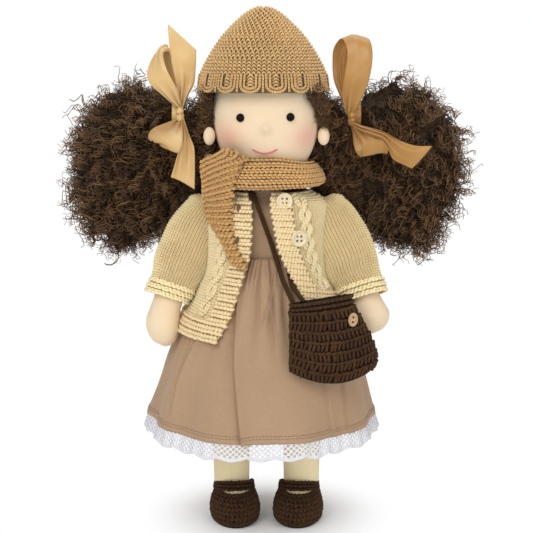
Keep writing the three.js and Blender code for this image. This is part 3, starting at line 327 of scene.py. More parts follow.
def egg(middle, half, rows, columns, lowest=-math.pi / 2):
    """Rings of points on an egg, from its lowest ring to its top."""
    tilt, turn = grid(np.linspace(lowest, math.pi / 2, rows), ring(columns) * TURN)
    a, b, c = half
    return middle + np.stack([a * np.cos(tilt) * np.sin(turn), -b * np.cos(tilt) * np.cos(turn),
                              c * np.sin(tilt)], -1)


def read_shares(table, key):
    """Smooth values of a table whose rows start with a rising key, as the solids have them."""
    rows = np.asarray(table, float)
    key = np.asarray(key, float)
    last = len(rows) - 1
    i = np.searchsorted(rows[1:-1, 0], key, side="left")
    low, high = rows[i], rows[i + 1]
    before, after = rows[np.maximum(i - 1, 0)], rows[np.minimum(i + 2, last)]
    span = (high[..., 0] - low[..., 0])[..., None]
    t = np.clip((key[..., None] - low[..., :1]) / span, 0, 1)
    slope_in = (high - before)[..., 1:] / (high - before)[..., :1] * span
    slope_out = (after - low)[..., 1:] / (after - low)[..., :1] * span
    t2, t3 = t * t, t * t * t
    return ((2 * t3 - 3 * t2 + 1) * low[..., 1:] + (t3 - 2 * t2 + t) * slope_in
            + (3 * t2 - 2 * t3) * high[..., 1:] + (t3 - t2) * slope_out)


def smooth(value, low, high):
    """A step from 0 at low to 1 at high."""
    t = np.clip((value - low) / (high - low), 0, 1)
    return t * t * (3 - 2 * t)


def unit(vectors):
    return vectors / np.maximum(np.linalg.norm(vectors, axis=-1, keepdims=True), 1e-9)


def ripple(x, y, z, seed, count=5, longest=1.0):
    """Gentle uneven waves without a pattern, about -1 to 1, from a few crossed sines."""
    rng = np.random.default_rng(seed)
    total = 0
    for _ in range(count):
        direction = unit(rng.normal(size=3))
        wave = TURN / (longest * (0.45 + 0.55 * rng.random()))
        total = total + np.sin((x * direction[0] + y * direction[1] + z * direction[2]) * wave
                               + rng.random() * TURN)
    return total / count ** 0.5 / 1.2


def torso_half(level, growth=0.0):
    share = np.clip((level - TORSO_BOTTOM) / TORSO_HEIGHT, 0, 1)
    across, deep = np.moveaxis(read_shares(TORSO_SHARES, share), -1, 0)
    return across * TORSO_HALF[0] + growth, deep * TORSO_HALF[1] + growth


def skirt_half(level, growth=0.0):
    share = np.clip((WAIST - level) / (WAIST - HEM), 0, 1)
    across, deep = np.moveaxis(read_shares(SKIRT_SHARES, share), -1, 0)
    return across * SKIRT_HALF[0] + growth, deep * SKIRT_HALF[1] + growth


def cardigan_half(level):
    share = (CARDIGAN_TOP - level) / CARDIGAN_LENGTH
    row = read_shares(CARDIGAN_SHARES, np.clip(share, 0, 1))
    beyond = np.maximum(0, share - 1) * CARDIGAN_LENGTH
    over_torso = torso_half(level, 2.1)
    over_skirt = skirt_half(level)
    result = []
    for k, full in enumerate(CARDIGAN_HALF):
        over = np.where(level > WAIST, over_torso[k], over_skirt[k])
        result.append(np.maximum(row[..., k] * full + beyond * 0.4, over + 3.5))
    return result


def cardigan_surface(round_it, fall):
    """Outside of the cardigan: round_it runs from the left front edge round the back."""
    length = CARDIGAN_LENGTH + (1 - round_it) ** 3 * 8 - round_it ** 3 * 20
    share = fall * length / CARDIGAN_LENGTH
    level = CARDIGAN_TOP - fall * length
    half_width, half_depth = cardigan_half(level)
    left = read_shares(LEFT_EDGE_SHARES, share)[..., 0] * SHOULDER_WIDTH
    right = read_shares(RIGHT_EDGE_SHARES, share)[..., 0] * SHOULDER_WIDTH
    start = -math.pi - np.arcsin(np.clip(left / half_width, -1, 1))
    end = math.pi - np.arcsin(np.clip(right / half_width, -1, 1))
    angle = start + (end - start) * round_it
    return np.stack([half_width * np.sin(angle), half_depth * np.cos(angle), level], -1)


def grid_faces(rows, columns, wrap=False):
    """Quads of a grid of points; wrap joins the last column to the first."""
    c = np.arange(columns if wrap else columns - 1)
    r = np.arange(rows - 1)[:, None] * columns
    a, b = r + c, r + (c + 1) % columns
    return np.stack([a, b, b + columns, a + columns], -1).reshape(-1, 4)


def grid_normals(points, wrap=False):
    along = np.gradient(points, axis=1)
    if wrap:
        along = np.roll(points, -1, 1) - np.roll(points, 1, 1)
    return unit(np.cross(along, -np.gradient(points, axis=0)))


def linked(name, data):
    """A new object in the scene."""
    piece = bpy.data.objects.new(name, data)
    bpy.context.scene.collection.objects.link(piece)
    return piece


def mesh_piece(name, points, faces, material=None):
    """A smooth-shaded piece from points in millimetres."""
    mesh = bpy.data.meshes.new(name)
    faces = [tuple(int(i) for i in face) for face in faces]
    mesh.from_pydata((np.asarray(points).reshape(-1, 3) * MM).tolist(), [], faces)
    mesh.shade_smooth()
    if material:
        mesh.materials.append(material)
    return linked(name, mesh)


@contextmanager
def reshaping(piece):
    """The piece's mesh as a bmesh, put back once it is changed."""
    shape = bmesh.new()
    shape.from_mesh(piece.data)
    yield shape
    shape.to_mesh(piece.data)
    shape.free()


def outwards(piece):
    """Merges doubled points and turns every face outwards."""
    with reshaping(piece) as shape:
        bmesh.ops.remove_doubles(shape, verts=shape.verts, dist=1e-6)
        bmesh.ops.recalc_face_normals(shape, faces=shape.faces)
    piece.data.shade_smooth()
    return piece


def round_piece(name, rings, material=None):
    """A piece from closed rings of points."""
    return outwards(mesh_piece(name, rings, grid_faces(*rings.shape[:2], wrap=True), material))


def closed_rings(name, rings, material):
    """A piece from closed rings of points, with a fan over the first ring and over the last."""
    rows, columns = rings.shape[:2]
    first_hub, last = rows * columns, (rows - 1) * columns
    faces = grid_faces(rows, columns, wrap=True).tolist()
    for k in range(columns):
        ahead = (k + 1) % columns
        faces += [[first_hub, ahead, k], [first_hub + 1, last + k, last + ahead]]
    hubs = [rings[0].mean(axis=0)], [rings[-1].mean(axis=0)]
    return outwards(mesh_piece(name, np.concatenate([rings.reshape(-1, 3), *hubs]), faces, material))


def cloth_piece(name, front, back, material, wrap=False):
    """Closed cloth with two faces, from the grids of its front and back points."""
    rows, columns = front.shape[:2]
    behind = rows * columns
    faces = grid_faces(rows, columns, wrap)
    all_faces = [faces, faces[:, ::-1] + behind]
    edges = [np.arange(columns), (rows - 1) * columns + np.arange(columns)]
    if not wrap:
        edges += [np.arange(rows) * columns, np.arange(rows) * columns + columns - 1]
    for line in edges:
        ahead = np.roll(line, -1) if wrap else line[1:]
        here = line if wrap else line[:-1]
        all_faces.append(np.stack([here, ahead, ahead + behind, here + behind], -1))
    points = np.concatenate([front.reshape(-1, 3), back.reshape(-1, 3)])
    return outwards(mesh_piece(name, points, np.concatenate(all_faces), material))


def tube(path, radius, sides=8, closed=False):
    """Points and faces of a tube along a path, its ends drawn in to a tip."""
    path = np.asarray(path, float)
    count = len(path)
    radius = np.broadcast_to(np.asarray(radius, float), count)
    ahead = np.roll(path, -1, 0) - np.roll(path, 1, 0) if closed else np.gradient(path, axis=0)
    ahead = unit(ahead)
    side = unit(np.cross(ahead[0], [0.31, 0.17, 0.93]))
    sides_at = [side]
    for k in range(1, count):
        side = unit(side - ahead[k] * (side @ ahead[k]))
        sides_at.append(side)
    across = np.array(sides_at)
    up = np.cross(ahead, across)
    if closed:
        drift = math.atan2(across[-1] @ up[0], across[-1] @ across[0])
        turn = -drift * np.arange(count) / count
        across, up = (across * np.cos(turn)[:, None] + up * np.sin(turn)[:, None],
                      up * np.cos(turn)[:, None] - across * np.sin(turn)[:, None])
    angle = np.arange(sides) / sides * TURN
    rings = (path[:, None] + radius[:, None, None]
             * (across[:, None] * np.cos(angle)[None, :, None]
                + up[:, None] * np.sin(angle)[None, :, None]))
    faces = grid_faces(count, sides, wrap=True).tolist()
    points = rings.reshape(-1, 3)
    if closed:
        last = (count - 1) * sides
        faces += [[last + k, last + (k + 1) % sides, (k + 1) % sides, k] for k in range(sides)]
        return points, faces
    tips = [path[0] - ahead[0] * radius[0] * 0.6, path[-1] + ahead[-1] * radius[-1] * 0.6]
    points = np.concatenate([points, tips])
    start, end, last = count * sides, count * sides + 1, (count - 1) * sides
    faces += [[start, (k + 1) % sides, k] for k in range(sides)]
    faces += [[end, last + k, last + (k + 1) % sides] for k in range(sides)]
    return points, faces


def tubes(paths, radius, sides=8, closed=False):
    """Points and faces of several tubes."""
    points, faces, start = [], [], 0
    for path in paths:
        own_points, own_faces = tube(path, radius, sides, closed)
        points.append(own_points)
        faces += [[i + start for i in face] for face in own_faces]
        start += len(own_points)
    return np.concatenate(points), faces


def tubes_piece(name, paths, radius, material, sides=8, closed=False):
    """Several tubes as one piece."""
    return outwards(mesh_piece(name, *tubes(paths, radius, sides, closed), material))


def joined(name, pieces):
    """Several pieces as one, with their materials."""
    target = pieces[0]
    with bpy.context.temp_override(active_object=target, selected_editable_objects=pieces):
        bpy.ops.object.join()
    target.name = name
    return target


def soft_copy(node, name, material, voxel=1.6, rounds=6):
    """A rounded copy of a solid: its mesh evened out and smoothed, in the same space."""
    piece = outwards(linked(name, frame["nodes"][node].data.copy()))
    even = piece.modifiers.new("even", "REMESH")
    even.mode = "VOXEL"
    even.voxel_size = voxel * MM
    even.use_smooth_shade = True
    rounding = piece.modifiers.new("rounding", "SMOOTH")
    rounding.factor = 0.6
    rounding.iterations = rounds
    result = plain(piece, name)
    result.data.materials.clear()
    result.data.materials.append(material)
    return result


def plain(piece, name):
    """The piece with its modifiers worked in, as a plain mesh of that name."""
    graph = bpy.context.evaluated_depsgraph_get()
    mesh = bpy.data.meshes.new_from_object(
        piece.evaluated_get(graph), preserve_all_data_layers=True, depsgraph=graph)
    bpy.data.objects.remove(piece)
    result = linked(name, mesh)
    result.name = name
    mesh.name = name
    return result


def points_of(piece):
    co = np.empty(len(piece.data.vertices) * 3)
    piece.data.vertices.foreach_get("co", co)
    return co.reshape(-1, 3) / MM


def move_points(piece, points):
    piece.data.vertices.foreach_set("co", (points * MM).ravel())
    piece.data.update()


def normals_of(piece):
    normals = np.empty(len(piece.data.vertices) * 3)
    piece.data.vertices.foreach_get("normal", normals)
    return normals.reshape(-1, 3)


def paint(piece, name, values):
    """A number at each point, which a material reads."""
    layer = piece.data.attributes.new(name, "FLOAT", "POINT")
    layer.data.foreach_set("value", np.asarray(values, np.float32).ravel())


# Nodes

class Nodes:
    """A node tree written as calls: each adds a node and gives the socket that comes out of it."""

    def __init__(self, tree):
        self.tree = tree

    def add(self, kind, inputs=(), out=0, **settings):
        """Adds a node, sets its settings, and sets or links its inputs."""
        node = self.tree.nodes.new(kind)
        for key, value in settings.items():
            setattr(node, key, value)
        for key, value in dict(inputs).items():
            if isinstance(value, bpy.types.NodeSocket):
                self.tree.links.new(value, node.inputs[key])
            else:
                node.inputs[key].default_value = value
        return node.outputs[out] if node.outputs else None

    def math(self, way, one, other):
        return self.add("ShaderNodeMath", {0: one, 1: other}, operation=way)

    def vector(self, way, one, other=(0, 0, 0), out=0):
        return self.add("ShaderNodeVectorMath", {0: one, 1: other}, out, operation=way)

    def scaled(self, vector, scale):
        return self.add("ShaderNodeVectorMath", {0: vector, "Scale": scale}, operation="SCALE")

    def spread(self, value, low, high, **settings):
        """A number from low to high as one from 0 to 1."""
        return self.add("ShaderNodeMapRange", {
            "Value": value, "From Min": low, "From Max": high}, **settings)

    def place(self):
        return self.add("ShaderNodeTexCoord", out="Object")

    def attribute(self, name):
        return self.add("ShaderNodeAttribute", out="Fac", attribute_name=name)

    def noise(self, size, detail, distortion=0.0, place=None):
        """Clouds of a size in millimetres."""
        return self.add("ShaderNodeTexNoise", {
            "Vector": self.place() if place is None else place, "Scale": 1 / (size * MM),
            "Detail": detail, "Distortion": distortion}, "Fac")

    def waves(self, size, way, inputs):
        """Straight bands, one to a size in millimetres."""
        return self.add("ShaderNodeTexWave", {
            "Vector": self.place(), "Scale": 1 / (size * MM) / TURN, **inputs}, "Fac",
            wave_type="BANDS", bands_direction=way)

    def mix(self, share, one, other):
        return self.add("ShaderNodeMix", {0: share, 6: one, 7: other}, 2, data_type="RGBA")

    def bump(self, height, strength, distance):
        return self.add("ShaderNodeBump", {
            "Height": height, "Strength": strength, "Distance": distance * MM})

    def surface(self, **inputs):
        """The surface shader with its inputs, and the output."""
        inputs = {key.replace("_", " "): value for key, value in inputs.items()}
        shader = self.add("ShaderNodeBsdfPrincipled", inputs)
        self.add("ShaderNodeOutputMaterial", {"Surface": shader})

    def seen(self):
        """1 where a ray shows the thing to the camera, 0 where it only lights."""
        ray = self.tree.nodes.new("ShaderNodeLightPath").outputs
        either = self.math("MAXIMUM", ray["Is Camera Ray"], ray["Is Glossy Ray"])
        return self.math("MAXIMUM", either, ray["Is Transmission Ray"])

    def random(self, kind, low, high, seed):
        """A random value for each point, between two limits."""
        first, out = {"FLOAT_VECTOR": (0, 0), "FLOAT": (2, 1), "INT": (4, 2)}[kind]
        return self.add("FunctionNodeRandomValue", {first: low, first + 1: high, "Seed": seed}, out,
                        data_type=kind)

    def uneven(self, given):
        """A random factor about 1 for each point."""
        low, high = (self.math(way, 1.0, given["Unevenness"]) for way in ("SUBTRACT", "ADD"))
        return self.random("FLOAT", low, high, given["Seed"])

    def realised(self, instances, material):
        """The tree's result: the instances made real, smooth and given their material."""
        real = self.add("GeometryNodeRealizeInstances", {"Geometry": instances})
        shaded = self.add("GeometryNodeSetShadeSmooth", {"Geometry": real})
        result = self.add("GeometryNodeSetMaterial", {"Geometry": shaded, "Material": material})
        self.add("NodeGroupOutput", {0: result})


def new_material(name):
    material = bpy.data.materials.new(name)
    material.use_nodes = True
    material.node_tree.nodes.clear()
    return material, Nodes(material.node_tree)


def yarn_material(name, base, fibre=0.5, lighter=1.12, darker=0.8, roughness=0.92, bloom=0.25,
                  between=(0.27, 0.19, 0.12)):
    """Spun wool or cotton yarn: a matt colour that varies a little from stitch to stitch, with
    fine fibres over it, and painted shade in the between colour where a stitch lies deep."""
    material, nodes = new_material(name)
    fibres = nodes.noise(fibre, 3.0)
    total = nodes.math("ADD", fibres, nodes.attribute("tone"))
    total = nodes.math("ADD", total, nodes.noise(22, 2.0))
    mix = nodes.mix(nodes.spread(total, 0.6, 2.0), tinted(base, darker), tinted(base, lighter))
    # Painted shade: the deeper a point of a stitch lies, the more its colour turns to the between colour
    mix = nodes.mix(nodes.attribute("deep"), mix, tinted(base, *between))
    nodes.surface(Base_Color=mix, Roughness=roughness, Normal=nodes.bump(fibres, 0.5, 0.25),
                  Sheen_Weight=bloom, Sheen_Roughness=0.6, Specular_IOR_Level=0.2)
    return material


def jersey_material(name, base, blush=None):
    """Knitted cotton jersey drawn over stuffing: very fine upright ribs, a soft matt face with a
    little bloom. The ribs are drawn about twice as coarse as real ones, so that they show."""
    material, nodes = new_material(name)
    ribs = nodes.waves(0.9, "X", {"Distortion": 1.2, "Detail": 2.0, "Detail Scale": 2.0})
    mix = nodes.mix(nodes.noise(30, 2.0), base, tinted(base, 0.97, 0.9, 0.82))
    if blush:
        mix = nodes.mix(nodes.attribute("blush"), mix, blush)
    height = nodes.math("ADD", ribs, nodes.noise(0.7, 3.0))
    nodes.surface(Base_Color=mix, Roughness=0.82, Normal=nodes.bump(height, 0.12, 0.2),
                  Sheen_Weight=0.2, Sheen_Roughness=0.5, Specular_IOR_Level=0.25,
                  Subsurface_Weight=0.08, Subsurface_Scale=3 * MM)
    return material


def hair_material():
    """Curled mohair: dark strands with a dull gloss, darkest at the roots in painted shade, lighter at
    the tips.
    """
    material, nodes = new_material("curled mohair")
    total = nodes.math("ADD", nodes.noise(16, 4.0), nodes.attribute("tone"))
    # Painted shade: each lock darkens towards its root, where it lies deep in the mass
    total = nodes.math("SUBTRACT", total, nodes.attribute("deep"))
    mix = nodes.mix(nodes.spread(total, 0.0, 1.3), colour("hair"), colour("hair_tip"))
    nodes.surface(Base_Color=mix, Roughness=0.5, Specular_IOR_Level=0.4)
    return material


def felted_material():
    """The base under the locks: near black as painted shade among them, with swirls of lighter strands.
    """
    material, nodes = new_material("matted mohair under the curls")
    swirl = nodes.noise(2.6, 3.0, distortion=2.6)
    # Painted shade: the near-black colour stands for the shade deep among the locks
    mix = nodes.mix(nodes.spread(swirl, 0.42, 0.66), (0.009, 0.006, 0.004, 1),
                    tinted(colour("hair_tip"), 0.42))
    nodes.surface(Base_Color=mix, Roughness=0.8, Normal=nodes.bump(swirl, 1.0, 1.8),
                  Specular_IOR_Level=0.15)
    return material


def satin_material(name, base):
    """Woven satin ribbon: a smooth gloss that runs across the ribbon, with very fine ribs, and painted
    shade where it is painted deep.
    """
    material, nodes = new_material(name)
    mix = nodes.mix(nodes.noise(14, 2.0), base, tinted(base, 0.86, 0.78, 0.66))
    # Painted shade: darker where the ribbon is painted deep, in its creases and turns
    mix = nodes.mix(nodes.attribute("deep"), mix, tinted(base, 0.42, 0.3, 0.18))
    nodes.surface(Base_Color=mix, Roughness=0.36, Normal=nodes.bump(nodes.noise(0.5, 1.0), 0.1, 0.1),
                  Sheen_Weight=0.3, Sheen_Roughness=0.35, Specular_IOR_Level=0.5)
    return material


def woven_material(name, base):
    """Plain woven cotton: crossing threads, drawn about twice as coarse as real ones, and painted shade
    in the folds where it is painted deep.
    """
    material, nodes = new_material(name)
    threads = [nodes.waves(0.8, way, {"Distortion": 0.8, "Detail": 1.0}) for way in "XZ"]
    clouds = nodes.math("ADD", nodes.noise(1.4, 3.0), nodes.noise(45, 2.0))
    mix = nodes.mix(nodes.spread(clouds, 0.7, 1.3), tinted(base, 0.93), tinted(base, 1.06))
    # Painted shade: darker where the cloth is painted deep, in its folds
    mix = nodes.mix(nodes.attribute("deep"), mix, tinted(base, 0.42, 0.33, 0.27))
    height = nodes.math("MULTIPLY", *threads)
    nodes.surface(Base_Color=mix, Roughness=0.8, Normal=nodes.bump(height, 0.25, 0.2),
                  Sheen_Weight=0.15, Sheen_Roughness=0.5, Specular_IOR_Level=0.25)
    return material


def smooth_material(name, base, roughness, coat=0.0, grain=(1, 1, 1), gloss=0.5):
    """Moulded plastic or sanded wood: smooth, with faint clouds or grain."""
    material, nodes = new_material(name)
    stretched = nodes.add("ShaderNodeMapping", {"Vector": nodes.place(), "Scale": grain})
    mix = nodes.mix(nodes.noise(2.5, 3.0, place=stretched), base, tinted(base, 0.8))
    nodes.surface(Base_Color=mix, Roughness=roughness, Coat_Weight=coat, Specular_IOR_Level=gloss)
    return material


def geometry_tree(name, sockets):
    """An empty geometry tree with its inputs, in order, and one geometry output."""
    tree = bpy.data.node_groups.new(name, "GeometryNodeTree")
    tree.interface.new_socket("Geometry", in_out="OUTPUT", socket_type="NodeSocketGeometry")
    for label, kind, default in sockets:
        socket = tree.interface.new_socket(label, in_out="INPUT", socket_type="NodeSocket" + kind)
        if default is not None:
            socket.default_value = default
    return Nodes(tree), tree.nodes.new("NodeGroupInput").outputs


def stitches_tree():
    """Sets one stitch on each point, turned and sized by the point's own numbers."""
    nodes, given = geometry_tree("stitches on points", [
        ("Points", "Geometry", None), ("Stitch", "Object", None), ("Size", "Float", 1.0),
        ("Unevenness", "Float", 0.08), ("Seed", "Int", 1), ("Yarn", "Material", None)])
    labels = ("out", "up", "size")
    out, up, size = (nodes.add("GeometryNodeInputNamedAttribute", {"Name": label},
                               data_type="FLOAT_VECTOR") for label in labels)
    turn = nodes.add("FunctionNodeAxesToRotation", {"Primary Axis": out, "Secondary Axis": up},
                     primary_axis="Z", secondary_axis="Y")
    factor = nodes.math("MULTIPLY", nodes.uneven(given), given["Size"])
    stitch = nodes.add("GeometryNodeObjectInfo", {"Object": given["Stitch"]}, "Geometry")
    placed = nodes.add("GeometryNodeInstanceOnPoints", {
        "Points": given["Points"], "Instance": stitch, "Rotation": turn,
        "Scale": nodes.scaled(size, factor)})
    for label in labels:
        placed = nodes.add("GeometryNodeRemoveAttribute", {"Geometry": placed, "Name": label})
    nodes.realised(placed, given["Yarn"])


def curls_tree():
    """Roots curls all over a surface, combed away from one place and tousled."""
    nodes, given = geometry_tree("curls on a surface", [
        ("Surface", "Geometry", None), ("Curls", "Collection", None),
        ("Curls to the square metre", "Float", 100000.0), ("Curl length", "Float", 0.015),
        ("Unevenness", "Float", 0.35), ("Lift", "Float", 0.35), ("Tousle", "Float", 0.8),
        ("Combed from", "Vector", None), ("Seed", "Int", 1), ("Hair", "Material", None)])
    seed = given["Seed"]
    roots = nodes.add("GeometryNodeDistributePointsOnFaces", {
        "Mesh": given["Surface"], "Density": given["Curls to the square metre"], "Seed": seed})
    normal = roots.node.outputs["Normal"]
    away = nodes.vector("SUBTRACT", nodes.add("GeometryNodeInputPosition"), given["Combed from"])
    away = nodes.vector("NORMALIZE", away)
    steep = nodes.vector("DOT_PRODUCT", away, normal, out="Value")
    raised = nodes.scaled(normal, nodes.math("SUBTRACT", given["Lift"], steep))
    chance = nodes.random("FLOAT_VECTOR", (-1.0, -1.0, -1.0), (1.0, 1.0, 1.0), seed)
    flow = nodes.vector("ADD", nodes.vector("ADD", away, raised),
                        nodes.scaled(chance, given["Tousle"]))
    turn = nodes.add("FunctionNodeAlignRotationToVector", {"Vector": flow}, axis="Z")
    spun = nodes.add("ShaderNodeCombineXYZ", {"Z": nodes.random("FLOAT", 0.0, TURN, seed)})
    spun = nodes.add("FunctionNodeEulerToRotation", {0: spun})
    turned = nodes.add("FunctionNodeRotateRotation", {0: turn, 1: spun}, rotation_space="LOCAL")
    scale = nodes.math("MULTIPLY", nodes.uneven(given), given["Curl length"])
    kinds = nodes.add("GeometryNodeCollectionInfo", {
        "Collection": given["Curls"], "Separate Children": True, "Reset Children": True})
    placed = nodes.add("GeometryNodeInstanceOnPoints", {
        "Points": roots, "Instance": kinds, "Pick Instance": True,
        "Instance Index": nodes.random("INT", 0, CURL_KINDS - 1, seed),
        "Rotation": turned, "Scale": scale})
    toned = nodes.add("GeometryNodeStoreNamedAttribute", {
        "Geometry": placed, "Name": "tone", "Value": nodes.random("FLOAT", 0.0, 1.0, seed)},
        data_type="FLOAT", domain="INSTANCE")
    nodes.realised(toned, given["Hair"])


def grown(piece, kind, name, **inputs):
    """The piece as the tree of that kind makes it, with the tree's inputs set."""
    modifier = piece.modifiers.new("grown", "NODES")
    modifier.node_group = bpy.data.node_groups[kind]
    labels = {socket.name.replace(" ", "_"): socket.identifier
              for socket in modifier.node_group.interface.items_tree if socket.in_out == "INPUT"}
    for label, value in inputs.items():
        modifier[labels[label]] = value
    return plain(piece, name)


# Stitches, each in millimetres about its middle: x along the row, y up, z out

def stitch_object(name, paths, radius, sides=5):
    """A stitch of yarn, each of its points with how deep it lies, which the materials draw as painted
    shade.
    """
    points, faces = tubes(paths, radius, sides)
    stitch = mesh_piece(name, points, faces)
    top = points[:, 2].max()
    # How deep each point lies, which the materials darken as painted shade
    paint(stitch, "deep", np.clip((top - points[:, 2]) / (top - points[:, 2].min()), 0, 1) ** 1.4)
    return stitch


def wave_stitch(width, height, radius):
    """One period of a purl row: the yarn runs over and under in a flat wave."""
    x = np.linspace(-0.5, 0.5, 7)
    wave = np.cos(x * TURN)
    path = np.stack([x * width * 1.06, wave * height, wave * 0.75 - 0.1], -1)
    return stitch_object("wave_stitch", [path], radius, sides=4)


def knit_stitch(width, height, radius, sides=3):
    """One plain stitch seen from its right side: two legs that meet at the bottom."""
    legs = [[[side * width * 0.08, -height * 0.74, -0.45], [side * width * 0.2, -height * 0.05, 0.4],
             [side * width * 0.33, height * 0.62, -0.35]] for side in (-1, 1)]
    return stitch_object("knit_stitch", legs, [radius * 0.7, radius, radius * 0.7], sides)


def bump_stitch(width, sag, radius):
    """One bump of a garter ridge or a short dash of yarn, its ends tucked in."""
    x = np.linspace(-0.5, 0.5, 5)
    path = np.stack([x * width, (x * 2) ** 2 * sag, 0.35 - (x * 2) ** 2 * 1.1], -1)
    return stitch_object("bump_stitch", [path], radius * np.array([0.6, 0.92, 1, 0.92, 0.6]), sides=4)


def post_stitch(width, height, radius):
    """One crochet stitch: an upright post with a small lean under the loops of its row."""
    post = [[-width * 0.12, -height * 0.5, -0.2], [0, 0, 0.35], [width * 0.12, height * 0.42, 0]]
    loop = [[-width * 0.5, height * 0.4, 0.1], [0, height * 0.52, 0.5],
            [width * 0.5, height * 0.4, 0.1]]
    return stitch_object("post_stitch", [post, loop], radius)


def surface_frames(surface, u, v, middle=(0, 0), step=1e-3):
    """Points on a surface with the directions out and up; middle is inside it, seen from above."""
    at = surface(u, v)
    du = surface(u + step, v) - surface(u - step, v)
    dv = surface(u, v + step) - surface(u, v - step)
    out = unit(np.cross(du, dv))
    away = out[..., 0] * (at[..., 0] - middle[0]) + out[..., 1] * (at[..., 1] - middle[1])
    return at, out * np.where(away < 0, -1, 1)[..., None], unit(dv)


def along_row(surface, v, pitch=None, count=None, start=0.0, end=1.0, shift=0.0):
    """Places of the stitches of one row, evenly spaced along it, and the space of each."""
    u = np.linspace(start, end, 360)
    run = run_of(surface(u, np.full_like(u, v)))
    count = count or max(3, round(run[-1] / pitch))
    return np.interp((np.arange(count) + 0.5 + shift) / count * run[-1], run, u), run[-1] / count


def course(surface, v, middle=(0, 0), **spacing):
    """One row of places on a surface, their directions out and up, and the space of each."""
    u, space = along_row(surface, v, **spacing)
    return (*surface_frames(surface, u, np.full_like(u, v), middle), space)


class Rows:
    """Points for stitches, gathered row by row."""

    def __init__(self):
        self.parts = []

    def add(self, at, out, up, size, lift=0.0):
        size = np.broadcast_to(np.asarray(size, float), (len(at), 3))
        self.parts.append((at + out * lift, out, up, size))

    def grown(self, name, stitch, material, seed=1, unevenness=0.08, keep=None, wobble=0.06):
        at, out, up, size = (np.concatenate(part) for part in zip(*self.parts))
        if keep is not None:
            at, out, up, size = (part[keep(at)] for part in (at, out, up, size))
        rng = np.random.default_rng(seed)
        up = unit(up + np.cross(up, out) * rng.normal(0, wobble, (len(at), 1)))
        out = unit(out + up * rng.normal(0, wobble, (len(at), 1)))
        points = mesh_piece(name + "_points", at, [])
        for label, values in (("out", out), ("up", up), ("size", size)):
            layer = points.data.attributes.new(label, "FLOAT_VECTOR", "POINT")
            layer.data.foreach_set("vector", np.asarray(values, np.float32).ravel())
        paint(points, "tone", rng.normal(0, 0.12, len(at)))
        return grown(points, "stitches on points", name, Stitch=stitch, Size=1.0,
                     Unevenness=unevenness, Seed=seed, Yarn=material)


def chain(rows, surface, u, v, pitch, middle=(0, 0), lift=0.0):
    """Adds stitches one after another along a line on a surface."""
    line = surface(u, v)
    run = run_of(line)
    count = max(2, round(run[-1] / pitch))
    places = (np.arange(count) + 0.5) / count * run[-1]
    at, out, _ = surface_frames(surface, np.interp(places, run, u), np.interp(places, run, v), middle)
    slope = np.gradient(line, run, axis=0)
    ahead = np.stack([np.interp(places, run, slope[:, k]) for k in range(3)], -1)
    rows.add(at, out, unit(ahead), (1, 1, 1), lift)


def settle(piece, body, slot, *nodes, padded=None):
    """Puts a piece on its body, or leaves it in place where the body is a pair, and hides the solids it
    stands for; the finish it is given is not used.
    """
    if isinstance(body, tuple):
        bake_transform(piece)
    else:
        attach(piece, body)
    if nodes:
        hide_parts(*nodes)
    return piece


def no_longer(*helpers):
    """Takes away the stitches and curls that were only copied."""
    for helper in helpers:
        bpy.data.objects.remove(helper)


def middle_of(node):
    """The middle of a solid's box, in millimetres."""
    low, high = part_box(node)
    return (np.array(low) + np.array(high)) / 2 / MM


def facing(piece, way):
    """The piece, with its faces turned over where most of them look away from a direction."""
    if sum(face.normal.dot(way) for face in piece.data.polygons) < 0:
        piece.data.flip_normals()
    return piece


class PieceOperator(bpy.types.Operator):
    bl_options = {"REGISTER", "UNDO"}

    def execute(self, context):
        self.make()
        return {"FINISHED"}


class MakeStage(PieceOperator):
    """Camera, soft lamps and a pale floor that keeps the shadow"""
    bl_idname = "doll.make_stage"
    bl_label = "Stage"

    def make(self):
        scene = bpy.context.scene
        scene.view_settings.view_transform = "Standard"
        data = bpy.data.cameras.new("photo camera")
        data.lens, data.sensor_width, data.clip_start = CAMERA_LENS, CAMERA_SENSOR, 0.05
        scene.camera = linked("photo camera", data)
        scene.camera.location = CAMERA_PLACE
        scene.camera.rotation_euler = (math.radians(90 - CAMERA_DOWN), 0, 0)
        corners = [[-3000, -3000, 0], [3000, -3000, 0], [3000, 3000, 0], [-3000, 3000, 0]]
        mesh_piece("floor", corners, [[0, 1, 2, 3]], self.paper())
        self.world()
        for lamp in LAMPS:
            self.lamp(*lamp)

    def lamp(self, name, place, size, power):
        data = bpy.data.lights.new(name, "AREA")
        data.size, data.energy = size, power
        lamp = linked(name, data)
        lamp.location = place
        ahead = Vector((0, 0, 0.18)) - Vector(place)
        lamp.rotation_euler = ahead.to_track_quat("-Z", "Y").to_euler()

    def paper(self):
        """Matt white paper that runs out to plain white a little way off."""
        material, nodes = new_material("white paper sweep")
        far = nodes.vector("LENGTH", nodes.place(), out="Value")
        fade = nodes.spread(far, 0.025, 0.1, interpolation_type="SMOOTHSTEP")
        amount = nodes.math("MULTIPLY", nodes.seen(), fade)
        paper = nodes.add("ShaderNodeBsdfPrincipled", {
            "Base Color": (0.93, 0.93, 0.94, 1), "Roughness": 0.9})
        white = nodes.add("ShaderNodeEmission", {"Color": WHITE, "Strength": 1.0})
        mix = nodes.add("ShaderNodeMixShader", {0: amount, 1: paper, 2: white})
        nodes.add("ShaderNodeOutputMaterial", {"Surface": mix})
        return material

    def world(self):
        world = bpy.data.worlds.new("studio")
        bpy.context.scene.world = world
        world.use_nodes = True
        world.node_tree.nodes.clear()
        nodes = Nodes(world.node_tree)
        light, white = (nodes.add("ShaderNodeBackground", {"Color": WHITE, "Strength": strength})
                        for strength in (0.42, 1.0))
        mix = nodes.add("ShaderNodeMixShader", {0: nodes.seen(), 1: light, 2: white})
        nodes.add("ShaderNodeOutputWorld", {"Surface": mix})


